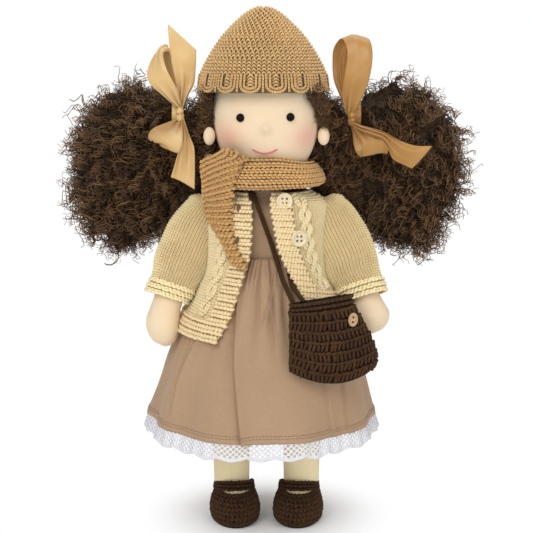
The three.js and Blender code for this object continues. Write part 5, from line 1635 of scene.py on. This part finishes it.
class MakeCardigan(PieceOperator):
    """Open knitted cardigan: plain stitches, cables beside the fronts, garter bands, two buttons"""
    bl_idname = "doll.make_cardigan"
    bl_label = "Cardigan"

    def make(self):
        self.cloth()
        # between: the colour of the painted shade deep among the stitches
        wool = yarn_material("cream wool", colour("cream_yarn"), lighter=1.08, darker=0.95,
                             bloom=0.4, between=(0.84, 0.64, 0.37))
        self.stitches(wool)
        self.buttonholes()
        self.cables(wool)
        plastic = smooth_material("moulded cream polyester", colour("button"), 0.25, coat=0.2)
        for name in ("upper", "lower"):
            self.button(name, plastic)

    def cloth(self):
        fall, round_it = grid(np.linspace(0, 1, 48), np.linspace(0, 1, 180))
        front = cardigan_surface(round_it, fall)
        out = unit(np.stack([front[..., 0], front[..., 1] * 1.2, 0 * front[..., 0]], -1))
        front = front - out * 0.7
        cloth = cloth_piece("cardigan_cloth", front, front - out * 1.6, cream_shade())
        with reshaping(cloth) as shape:
            gone = [face for face in shape.faces if abs(face.calc_center_median().x) > 0.0463
                    and (CARDIGAN_TOP - face.calc_center_median().z / MM) / CARDIGAN_LENGTH
                    < ARMHOLE_FALL]
            bmesh.ops.delete(shape, geom=gone, context="FACES")
            edges = [edge for edge in shape.edges if edge.is_boundary]
            bmesh.ops.holes_fill(shape, edges=edges, sides=0)
            bmesh.ops.triangulate(shape, faces=[face for face in shape.faces if len(face.verts) > 4])
        cloth.data.shade_smooth()
        settle(cloth, BEND, "cream_yarn", "cardigan_body")

    def stitches(self, wool):
        """Plain rows in three parts, and garter ridges along the fronts and the lower edge."""
        width, height = sizes().cardigan_stitch / MM, sizes().cardigan_row / MM
        fronts, back, ridges = Rows(), Rows(), Rows()
        count, ridge_count, low, high = 54, 37, 0.052, 0.948
        for r in range(count - 7):
            fall = (r + 0.5) / count
            u, space = along_row(cardigan_surface, fall, count=118, start=low, end=high)
            in_cable = np.min([np.abs(u - cable) for cable in CABLES], axis=0) < 0.018
            behind = np.abs(u - 0.5) < 0.22
            for rows, here in ((back, behind), (fronts, ~behind)):
                at, out, up = surface_frames(cardigan_surface, u[here], np.full(here.sum(), fall))
                rows.add(at, out, -up, (space / width, 1, 1),
                         lift=np.where(in_cable[here], -0.6, -0.1)[:, None])
        for start, end, number, first in ((-0.003, low, 6, 0), (high, 1.003, 6, 0), (low, high, 96, 32)):
            for r in range(first, ridge_count):
                at, out, up, space = course(cardigan_surface, (r + 0.5) / ridge_count, count=number,
                                            start=start, end=end, shift=0.5 * (r % 2))
                if r % 2:
                    ridges.add(at, out, up, (space / 3.2, 1.2, 0.9), lift=0.2)
                else:
                    ridges.add(at, out, -up, (space / 3.2 * 1.1, 1, 1.1), lift=0.5)
        knit = knit_stitch(width, height * 0.88, 0.56)
        bump = bump_stitch(3.4, 1.1, 1.55)
        for name, rows in (("cardigan_knit_fronts", fronts), ("cardigan_knit_back", back)):
            settle(rows.grown(name, knit, wool, seed=6, keep=clear_of_arms, wobble=0.03),
                   BEND, "cream_yarn")
        # between: the colour of the painted shade deep among the ridges
        garter = yarn_material("cream wool in the bands", tinted(colour("cream_yarn"), 0.97, 0.9, 0.8),
                               lighter=1.03, darker=0.9, bloom=0.4, between=(0.72, 0.55, 0.36))
        settle(ridges.grown("cardigan_bands", bump, garter, seed=7, keep=clear_of_arms, wobble=0.16),
               BEND, "cream_yarn")
        no_longer(knit, bump)

    def buttonholes(self):
        """Two worked holes in the left front band: a dark tube in each, painted shade for the inside."""
        fall, round_it = grid(np.linspace(0, 1, 200), np.linspace(0, 0.05, 40))
        front = cardigan_surface(round_it, fall)
        # Painted shade: near-black tubes stand for the shade inside each hole
        dark = yarn_material("cream wool deep within a buttonhole",
                             tinted(colour("cream_yarn"), 0.16, 0.1, 0.06))
        t = np.linspace(-1, 1, 9)[:, None]
        radius = 1.4 * np.sqrt(1 - t[:, 0] ** 2 * 0.9)
        holes = []
        for x, z in ((-19.8, 237.3), (-20.6, 215.3)):
            gap = np.hypot(front[..., 0] - x, front[..., 2] - z)
            place = front[np.unravel_index(np.argmin(gap), gap.shape)]
            path = place + t * [0.5, 0, 2.9] + [0, -1.5, 0]
            holes.append(tubes_piece("buttonhole", [path], radius, dark))
        settle(joined("cardigan_buttonholes", holes), BEND, "cream_yarn")

    def cables(self, wool):
        """Two cables of plain stitches, each of two strands that cross every 12 mm."""
        rows = Rows()
        fall = np.arange(0.02, 0.84, 2.1 / CARDIGAN_LENGTH)
        for middle in CABLES:
            at, out, up = surface_frames(cardigan_surface, np.full_like(fall, middle), fall)
            side = np.cross(up, out)
            for k in range(2):
                turn = (fall * CARDIGAN_LENGTH / CABLE_TURN * TURN + k * math.pi)[:, None]
                lean = 2.7 * TURN / CABLE_TURN * np.cos(turn)
                for column in (-1.15, 1.15):
                    across = 2.9 * np.sin(turn) + column
                    rows.add(at + side * across, out, -unit(up + side * lean), (1, 1.05, 1.2),
                             lift=0.5 + 0.8 * np.cos(turn))
        knit = knit_stitch(2.4, 2.2, 0.66, sides=4)
        settle(rows.grown("cardigan_cables", knit, wool, seed=8, wobble=0.04), BEND, "cream_yarn")
        no_longer(knit)

    def button(self, name, plastic):
        node = "cardigan_button_" + name
        middle = middle_of(node)
        out = np.array([middle[0] * 0.55, middle[1], 0.0])
        holes = [(x, y) for x in (-1.55, 1.55) for y in (-1.55, 1.55)]
        piece = button_piece("button_cream_" + name, middle, out, (0, 0, 1), (5.9, 5.9), 2.4, holes,
                             0.95, plastic)
        settle(piece, "torso", "button_cream", node)


def button_piece(name, middle, out, up, half, thickness, holes, hole_radius, material):
    """A button with a raised rim, a dished middle and real holes."""
    steps, hole_steps = 96, 20
    profile = [(0.93, -1), (1.0, -0.5), (1.0, 0.45), (0.95, 0.9), (0.86, 1), (0.77, 0.75),
               (0.72, 0.45), (0.6, 0.4)]
    shape = bmesh.new()

    def circle(x, y, across, high, lift, count):
        return [shape.verts.new((x + across * math.cos(a), y + high * math.sin(a),
                                 lift * thickness / 2)) for a in ring(count) * TURN]

    def skin(one, other):
        for i in range(len(one)):
            k = (i + 1) % len(one)
            shape.faces.new((one[i], one[k], other[k], other[i]))

    def wall(outline, lift):
        """The button's upper or lower face, filled round its holes."""
        inner = [circle(x, y, hole_radius, hole_radius, lift, hole_steps) for x, y in holes]
        edges = []
        for line in [outline] + inner:
            for pair in zip(line, line[1:] + line[:1]):
                edges.append(shape.edges.get(pair) or shape.edges.new(pair))
        bmesh.ops.triangle_fill(shape, use_beauty=True, use_dissolve=False, edges=edges)
        return inner

    rings = [circle(0, 0, share * half[0], share * half[1], lift, steps) for share, lift in profile]
    for one, other in zip(rings, rings[1:]):
        skin(one, other)
    for top, bottom in zip(wall(rings[-1], 0.4), wall(rings[0], -1)):
        skin(top, bottom)
    out = unit(np.asarray(out, float))
    side = unit(np.cross(up, out))
    high = np.cross(out, side)
    for vert in shape.verts:
        x, y, z = vert.co
        vert.co = Vector((np.asarray(middle) + side * x + high * y + out * z) * MM)
    bmesh.ops.recalc_face_normals(shape, faces=shape.faces)
    mesh = bpy.data.meshes.new(name)
    shape.to_mesh(mesh)
    shape.free()
    mesh.shade_smooth()
    mesh.materials.append(material)
    piece = linked(name, mesh)
    piece.modifiers.new("edges", "EDGE_SPLIT").split_angle = math.radians(50)
    return plain(piece, name)


def arm_frame(sign):
    """The arm's turn and its shoulder: left leans 25 and right 24 degrees, forward 12 and 18."""
    lean, forward = (25, 12) if sign < 0 else (24, 18)
    f, a = math.radians(-forward), math.radians(-sign * lean)
    about_x = np.array([[1, 0, 0], [0, math.cos(f), -math.sin(f)], [0, math.sin(f), math.cos(f)]])
    about_y = np.array([[math.cos(a), 0, math.sin(a)], [0, 1, 0], [-math.sin(a), 0, math.cos(a)]])
    return about_x @ about_y, np.array([sign * SHOULDER[0], *SHOULDER[1:]])


def sleeve_surface(sign):
    """The outside of one sleeve, along the arm from its puffed cap."""
    turn, shoulder = arm_frame(sign)

    def surface(around, share, growth=0.0):
        """share from the cap's top, below 0, to the cuff's end at 1."""
        angle = around * TURN
        width = read_shares(SLEEVE_SHARES, np.maximum(share, 0))[..., 0]
        cap = np.clip(-share / 0.145, 0, 0.985)
        close = np.sqrt(1 - cap ** 2)
        puff = 0.5 * ripple(np.cos(angle) * 14, np.sin(angle) * 14, share * 60, 8 + sign, longest=24)
        across = (width / 2 + growth + puff) * close
        deep = (width * 0.44 + growth + puff) * close
        bowed = np.clip(share, 0, 1) ** 0.8 * math.pi
        reach = 1.0 + 2.4 * sign * np.cos(angle)
        slope = sign * 3.0 * math.pi / SLEEVE_LENGTH * np.cos(bowed) * np.where(share > 0, 1, close)
        x = across * np.cos(angle)
        inner = 0.5 - 0.5 * sign * np.cos(angle)
        reach = reach - 2.2 * inner * smooth(share, 0.35, 0.8) / np.maximum(np.sin(bowed), 0.35)
        down = np.where(share > 0, -share * SLEEVE_LENGTH, cap * 16.2 * 0.62) + x * slope
        local = np.stack([x + sign * reach * np.sin(bowed), deep * np.sin(angle), down], -1)
        return local @ turn.T + shoulder
    return surface


class MakeSleeves(PieceOperator):
    """Knitted sleeves with garter cuffs"""
    bl_idname = "doll.make_sleeves"
    bl_label = "Sleeves"

    def make(self):
        # between: the colour of the painted shade deep among the stitches
        wool = yarn_material("cream wool of the sleeves", tinted(colour("cream_yarn"), 1.0, 0.98, 0.91),
                             lighter=1.15, darker=1.0, bloom=0.32, between=(0.82, 0.6, 0.33))
        width, height = sizes().cardigan_stitch / MM, sizes().cardigan_row / MM
        knit, ridge = knit_stitch(width, height * 0.9, 0.52), bump_stitch(3.4, 1.1, 1.15)
        for side, sign in SIDES:
            surface = sleeve_surface(sign)
            turn, shoulder = arm_frame(sign)
            shares = np.concatenate([np.linspace(-0.143, 0, 12)[:-1], np.linspace(0, 1, 50)])
            share, around = grid(shares, ring(72))
            front, back = (surface(around, share, growth) for growth in (-0.7, -2.4))
            cloth = cloth_piece("sleeve_cloth_" + side, front, back, cream_shade(), wrap=True)
            join = ("torso", "arm_" + side, (sign * 0.046, 0.002, 0.234), (sign * 0.062, 0.002, 0.226))
            settle(cloth, join, "cream_yarn", "sleeve_" + side)
            rows, ridges = Rows(), Rows()

            def place(share, count, shift=0.0):
                at, out, up, space = course(surface, share, shoulder, count=count, shift=shift)
                axis = shoulder + ((at - shoulder) @ turn * [0, 0, 1]) @ turn.T
                return at, out * np.sign(np.sum(out * (at - axis), -1, keepdims=True)), -up, space

            for r in range(36):
                at, out, up, space = place(-0.12 + (r + 0.5) / 36 * 0.96, 47 if sign < 0 else 44)
                rows.add(at, out, up, (space / width, 1, 1), lift=-0.1)
            for r in range(6):
                at, out, up, space = place(0.85 + r / 5 * 0.145, 31, 0.5 * (r % 2))
                if r % 2:
                    ridges.add(at, out, up, (space / 3.2 * 1.1, 1.05, 1.05), lift=0.3)
                else:
                    ridges.add(at, out, -up, (space / 3.2, 0.9, 0.8), lift=-0.1)
            settle(rows.grown("sleeve_knit_" + side, knit, wool, seed=8, wobble=0.03),
                   join, "cream_yarn")
            settle(ridges.grown("sleeve_cuff_" + side, ridge, wool, seed=9, wobble=0.16),
                   "arm_" + side, "cream_yarn")
        no_longer(knit, ridge)


def scarf_taper(angle, share):
    """How much closer to the neck and lower the scarf lies on its right."""
    there = smooth(np.cos(angle), 0.1, 0.95)
    closer = read_shares([[0, -1.5], [0.2, 0], [0.5, -2], [0.8, -5], [1, -6.5]], share)[..., 0]
    return closer * there, -5.0 * there * share


def scarf_surface(around, share):
    """The wound part: share is the height from its lower to its upper edge."""
    angle = around * TURN
    profile = [[0, -4.5], [0.12, -1.2], [0.35, 0], [0.7, 0], [0.9, -1.2], [1, -4.5]]
    closer, lower = scarf_taper(angle, share)
    inset = read_shares(profile, share)[..., 0] + closer
    sag = 0.6 * np.cos(angle * 3 + 1) + 0.4 * np.cos(angle * 7)
    x = SCARF_MIDDLE[0] + (SCARF_HALF[0] + inset + sag) * np.cos(angle)
    y = (SCARF_HALF[1] + inset + sag) * np.sin(angle)
    wave = 0.5 * np.cos(angle * 2 + 0.7)
    return np.stack([x, y, SCARF_BASE + share * SCARF_HEIGHT + lower + wave], -1)


def scarf_top(around, share):
    """The scarf's upper edge, closing in towards the neck from row to row."""
    angle, inwards = around * TURN, 3 + 3 * share
    return scarf_surface(around, 0.97 + 0 * share) + np.stack(
        [-inwards * np.cos(angle), -inwards * np.sin(angle), 0.8 + 0 * share], -1)


def tail_support(x, level):
    """How far forward the wrap or the cardigan carries the scarf's hanging end."""
    in_wrap = smooth(level, 227.95, 247.95)
    half_width, half_depth = cardigan_half(np.minimum(level, 237.95))
    out = np.abs(x + 1.2 * in_wrap)
    wide = np.maximum(half_width * (1 - in_wrap) + 43.35 * in_wrap, out * 1.08)
    deep = np.maximum(half_depth * (1 - in_wrap) + 39.85 * in_wrap, half_depth)
    return deep * np.sqrt(np.maximum(0.12, 1 - (out / wide) ** 2))


def tail_surface(across, drop, outward=4.2):
    """The hanging end, between its two edges, carried by what lies behind it."""
    level = TAIL_TOP - drop * TAIL_LENGTH
    left, right = np.moveaxis(read_shares(TAIL_EDGES, drop), -1, 0)
    x = left + (right - left) * across
    edge = 1 - np.abs(across * 2 - 1) ** 4
    fold = 3.2 * np.exp(-((drop - 0.14) / 0.13) ** 2) if outward else 0
    y = -tail_support(x, level) - 0.7 - (outward + fold) * (0.25 + 0.75 * edge)
    return np.stack([x, y, level], -1)


class MakeScarf(PieceOperator):
    """Knitted scarf, wound once round the neck, with one pointed end hanging down"""
    bl_idname = "doll.make_scarf"
    bl_label = "Scarf"

    def make(self):
        shade = bpy.data.materials["tan wool in the shade of the stitches"]
        self.wrap(shade)
        self.tail(shade)

    def wrap(self, shade):
        wool = yarn_material("darker tan wool", tinted(colour("tan_yarn"), 0.93, 0.85, 0.74))
        share, around = grid(np.linspace(0, 1, 26), ring(140))
        outer = drawn_in(scarf_surface(around, share), SCARF_MIDDLE, 0.982)
        profile = [[0, -6.2], [0.12, -9.5], [0.5, -10], [0.9, -9.5], [1, -6.2]]
        angle = around * TURN
        closer, lower = scarf_taper(angle, share)
        inset = read_shares(profile, share)[..., 0] + closer
        inner = np.stack([SCARF_MIDDLE[0] + (SCARF_HALF[0] + inset) * np.cos(angle),
                          (SCARF_HALF[1] + inset) * np.sin(angle),
                          SCARF_BASE + share * SCARF_HEIGHT + lower], -1)
        wrap = cloth_piece("scarf_cloth", outer, inner, shade, wrap=True)
        settle(wrap, "torso", "tan_yarn", "scarf_wrap")
        rows = Rows()
        for r in range(11):
            at, out, up, space = course(scarf_surface, 0.02 + (r + 0.5) / 11 * 0.96, SCARF_MIDDLE,
                                        pitch=3.3, shift=0.5 * (r % 2))
            tilt = unit(up + 0.16 * np.cross(up, out))
            rows.add(at, out, tilt * (-1) ** r, (space / 3.4, 1, 1), lift=0.2)
        for r in range(3):
            at, out, up, space = course(scarf_top, float(r), SCARF_MIDDLE, pitch=4.0,
                                        shift=0.5 * (r % 2))
            rows.add(at, np.broadcast_to([0, 0, 1.0], at.shape), unit(at * [-1, -1, 0]),
                     (space / 3.9, 1, 1))
        dash = bump_stitch(3.5, 0.8, 1.12)
        settle(rows.grown("scarf_knit", dash, wool, seed=12), "torso", "tan_yarn")
        no_longer(dash)

    def tail(self, shade):
        drop, across = grid(np.linspace(0.045, 1, 60), np.linspace(0.02, 0.98, 24))
        cloth = cloth_piece("scarf_tail_cloth", tail_surface(across, drop, 3.4),
                            tail_surface(across, drop, 0), shade)
        settle(cloth, "torso", "tan_yarn", "scarf_tail")
        rows = Rows()
        u = np.linspace(-0.02, 1.02, 400)
        for r in range(39):
            middle = r / 38
            slant = 0.24 * max(0, 1 - middle / 0.62)
            d = np.clip(middle - (u - 0.5) * slant, 0, 1)
            run = run_of(tail_surface(u, d))
            count = max(2, round(run[-1] / 3.1))
            places = (np.arange(count) + 0.5 + 0.25 * (-1) ** r) / count * run[-1]
            at, out, up = surface_frames(tail_surface, np.interp(places, run, u),
                                         np.interp(places, run, d))
            ahead = unit(up - np.cross(up, out) * 2.2 * slant)
            if r % 2:
                rows.add(at, out, ahead, (1.0, 0.9, 0.8), lift=-0.1)
            else:
                rows.add(at, out, -ahead, (1.1, 1.05, 1.15), lift=0.6)
        bump = bump_stitch(3.3, 0.9, 1.45)
        # Painted shade: a darker copy of the tan wool, which evens out the extra light the hanging end
        # faces
        tail_wool_in_painted_shade = yarn_material("tan wool of the hanging end", tinted(colour("tan_yarn"), 0.83, 0.74, 0.6))
        settle(rows.grown("scarf_tail_knit", bump, tail_wool_in_painted_shade, seed=13, wobble=0.12), "torso", "tan_yarn")
        no_longer(bump)


class MakeLimbs(PieceOperator):
    """Stuffed jersey torso, arms and legs"""
    bl_idname = "doll.make_limbs"
    bl_label = "Body, arms and legs"

    def make(self):
        skin = bpy.data.materials["stuffed cotton jersey"]
        straw = jersey_material("straw cotton jersey", colour("stocking"))
        torso = soft_copy("torso", "torso_jersey", skin, voxel=2.0, rounds=4)
        settle(torso, "torso", "skin_jersey", "torso", padded=0.9)
        for side, sign in SIDES:
            arm = soft_copy("arm_" + side, "arm_jersey_" + side, skin, voxel=1.4, rounds=5)
            turn, shoulder = arm_frame(sign)
            local = (points_of(arm) - shoulder) @ turn
            beyond_wrist = np.minimum(local[:, 2] + 66, 0)
            local[:, 2] -= beyond_wrist * (0.1 if side == "left" else 0.27)
            move_points(arm, local @ turn.T + shoulder)
            settle(arm, "arm_" + side, "skin_jersey", "arm_" + side, padded=0.85)
            leg = soft_copy("leg_" + side, "leg_jersey_" + side, straw, voxel=1.7, rounds=5)
            points = points_of(leg)
            foot = smooth(-points[:, 2], -27, -19)
            points[:, 0] += foot * (sign * SHOE_REACH - points[:, 0]) * 0.22
            points[:, 1] += foot * (-9 - points[:, 1]) * 0.12
            move_points(leg, points)
            settle(leg, "leg_" + side, "leg_jersey", "leg_" + side, padded=0.9)


def shoe_turned(sign, x, y, z):
    """A place on a shoe, whose toe points a little inwards."""
    turn = math.radians(sign * -5)
    return np.stack([sign * SHOE_REACH + x * math.cos(turn) - y * math.sin(turn),
                     x * math.sin(turn) + y * math.cos(turn), z], -1)


def shoe_upper(sign):
    def surface(around, share):
        angle = around * TURN
        z, half_width, front, back = np.moveaxis(read_shares(SHOE_RINGS, share), -1, 0)
        middle, half_depth = (front + back) / 2, (back - front) / 2
        return shoe_turned(sign, half_width * np.cos(angle), middle + half_depth * np.sin(angle), z)
    return surface


def ankle_band(sign):
    """The strap: high in front, low behind."""
    def surface(around, share):
        angle = around * TURN
        front = -np.sin(angle)
        reach = np.where(front > 0, 18.3 - 1.9 * share, 15.2 - 0.8 * share)
        z = 20.3 + 2.7 * front + share * (4.6 + 2.2 * front)
        return shoe_turned(sign, (14.7 - 0.8 * share) * np.cos(angle), reach * np.sin(angle), z)
    return surface


class MakeShoes(PieceOperator):
    """Crocheted shoes with a strap over the instep"""
    bl_idname = "doll.make_shoes"
    bl_label = "Shoes"

    def make(self):
        # between: the colour of the painted shade deep among the stitches
        yarn = yarn_material("dark brown crochet cotton", colour("brown_yarn"), roughness=0.9,
                             bloom=0.03, lighter=2.2, darker=0.9, between=(0.2, 0.14, 0.09))
        shade = yarn_material("dark brown crochet in the shade", tinted(colour("brown_yarn"), 0.4),
                              bloom=0.0)
        post, bump = knit_stitch(3.6, 2.9, 0.86, sides=5), bump_stitch(3.4, 0.9, 1.2)
        for side, sign in SIDES:
            self.cloth(side, sign, shade)
            rows, bands = Rows(), Rows()
            upper, ankle = shoe_upper(sign), ankle_band(sign)
            middle = (sign * LEG_REACH, -10)
            for r in range(7):
                at, out, up, space = course(upper, 0.09 + r * 0.14, middle, pitch=3.3,
                                            shift=0.5 * (r % 2))
                rows.add(at, out, up + np.cross(up, out) * 0.25 * (-1) ** r, (space / 3.4, 1, 1.1))
            settle(rows.grown("shoe_crochet_" + side, post, yarn, seed=15, unevenness=0.15,
                              wobble=0.2), "leg_" + side, "brown_yarn")
            for surface, share, lift in ((upper, 0.02, 0.0), (upper, 0.985, 0.3), (ankle, 0.1, 0.2),
                                         (ankle, 0.5, 0.25), (ankle, 0.9, 0.2)):
                at, out, up, space = course(surface, share, middle, pitch=3.3,
                                            shift=0.5 * (share > 0.4))
                bands.add(at, out, up, (space / 3.3 * 1.05, 1, 1), lift)
            settle(bands.grown("shoe_bands_" + side, bump, yarn, seed=16, unevenness=0.12,
                               wobble=0.12), "leg_" + side, "brown_yarn")
        no_longer(post, bump)

    def cloth(self, side, sign, shade):
        """The shoe's own thickness under its stitches, the strap, and the stocking in the slit."""
        share, around = grid(np.linspace(0, 1, 24), ring(80))
        outer = shoe_upper(sign)(around, share)
        centre = outer.mean(axis=1, keepdims=True)
        outer = centre + (outer - centre) * [0.95, 0.965, 1]
        inner = centre + (outer - centre) * [0.84, 0.88, 1]
        sole = outer[:1] * [1, 1, 0] + [0, 0, 0.15]
        insole = inner[:1] * [1, 1, 0] + [0, 0, 2.4]
        rings = np.concatenate([sole, outer, inner[::-1], insole])
        settle(closed_rings("shoe_cloth_" + side, rings, shade), "leg_" + side, "brown_yarn",
               "shoe_upper_" + side, "shoe_sole_" + side)
        share, around = grid(np.linspace(0, 1, 8), ring(60))
        straw = bpy.data.materials["straw cotton jersey"]
        for name, material, slot, far, near, low, nodes in (
                ("shoe_strap_cloth_", shade, "brown_yarn", 0.985, 0.9, share, ["shoe_strap_" + side]),
                ("instep_jersey_", straw, "leg_jersey", 0.93, 0.85, share * 1.3 - 1.0, [])):
            outer = ankle_band(sign)(around, low)
            centre = outer.mean(axis=1, keepdims=True)
            front, back = (centre + (outer - centre) * [k, k, 1] for k in (far, near))
            band = cloth_piece(name + side, front, back, material, wrap=True)
            settle(band, "leg_" + side, slot, *nodes)


def bag_surface(inset=0.0, lift=0.0):
    """The pouch, or a shell within it: share runs from its sagging bottom up to its rim."""
    def surface(around, share):
        angle = around * TURN
        row = read_shares(BAG_SHARES, share)
        width, depth = (low + (high - low) * row[..., k]
                        for k, (low, high) in enumerate((BAG_WIDTHS, BAG_DEPTHS)))
        along = np.sign(np.cos(angle)) * np.abs(np.cos(angle)) ** 0.55
        x = BAG_EDGE + width / 2 + along * (width / 2 - inset)
        curl = (x - BAG_EDGE) / BAG_WIDTHS[1]
        rise = 9 * curl * share - 8.1 * np.sin(curl * math.pi) * (1 - share)
        y = BAG_DEPTH_MIDDLE + 9 * curl * curl + np.sin(angle) * (depth / 2 - inset)
        return np.stack([x, y, BAG_RIM + rise - (1 - share) * BAG_HEIGHT + lift], -1)
    return surface


class MakeBag(PieceOperator):
    """Crocheted pouch bag with its wooden button"""
    bl_idname = "doll.make_bag"
    bl_label = "Bag"

    def make(self):
        yarn = bpy.data.materials["dark brown crochet cotton"]
        shade = bpy.data.materials["dark brown crochet in the shade"]
        shares = np.array([0, 0.02, 0.05, 0.1, 0.16, 0.24, 0.34, 0.45, 0.56, 0.67, 0.78, 0.88, 1])
        around = (np.arange(96) + 0.5) / 96
        rings = [bag_surface(0.5)(around, np.full(96, share)) for share in shares]
        rings += [bag_surface(2.2, 0.7)(around, np.full(96, share)) for share in shares[:0:-1]]
        settle(closed_rings("bag_cloth", np.array(rings), shade), "bag", "brown_yarn", "bag_body")
        rows, rims = Rows(), Rows()
        surface = bag_surface()
        for r in range(7):
            at, out, up, space = course(surface, 0.07 + r * 0.125, BAG_MIDDLE, pitch=3.0,
                                        shift=0.5 * (r % 2))
            lean = np.cross(up, out) * (0.22 if r % 2 else -0.08)
            rows.add(at, out, unit(up + lean), (space / 2.8, 1, 1), lift=0.1)
        for share in (0.93, 0.99):
            at, out, up, space = course(surface, share, BAG_MIDDLE, pitch=3.2)
            rims.add(at, out, up, (space / 3.0, 1, 1), lift=0.2)
        post, rim = post_stitch(2.8, 6.0, 1.2), bump_stitch(3.3, 0.4, 1.3)
        settle(rows.grown("bag_crochet", post, yarn, seed=17, unevenness=0.12, wobble=0.1),
               "bag", "brown_yarn")
        settle(rims.grown("bag_rim", rim, yarn, seed=18), "bag", "brown_yarn")
        no_longer(post, rim)
        wood = smooth_material("sanded pale wood", colour("wood"), 0.5, grain=(1, 1, 0.15))
        button = button_piece("bag_button_wood", middle_of("bag_button"), (0.2, -1, 0), (0.1, 0, 1),
                              (3.4, 4.9), 2.0, [(0, -1.7), (0, 1.7)], 0.8, wood)
        settle(button, "bag", "button_wood", "bag_button")


STEPS = (MakeStage, MakeStrap, MakeDress, MakeHead, MakeHat, MakeBows, MakeHair, MakeCardigan,
         MakeSleeves, MakeScarf, MakeLimbs, MakeShoes, MakeBag)


class DollPanel(bpy.types.Panel):
    bl_idname = "VIEW3D_PT_rag_doll"
    bl_label = "Rag doll"
    bl_space_type = "VIEW_3D"
    bl_region_type = "UI"
    bl_category = "Rag doll"

    def draw(self, context):
        for group in (context.scene.doll_sizes, context.scene.doll_colours):
            for name in group.__annotations__:
                self.layout.prop(group, name)
        for step in STEPS:
            self.layout.operator(step.bl_idname)


CLASSES = (DollColours, DollSizes, *STEPS, DollPanel)


def register():
    for kind in CLASSES:
        bpy.utils.register_class(kind)
    bpy.types.Scene.doll_colours = bpy.props.PointerProperty(type=DollColours)
    bpy.types.Scene.doll_sizes = bpy.props.PointerProperty(type=DollSizes)


def unregister():
    del bpy.types.Scene.doll_sizes
    del bpy.types.Scene.doll_colours
    for kind in reversed(CLASSES):
        bpy.utils.unregister_class(kind)


def main():
    register()
    stitches_tree()
    curls_tree()
    for step in STEPS:
        getattr(bpy.ops.doll, step.bl_idname.split(".")[1])()


if __name__ == "__main__":
    main()
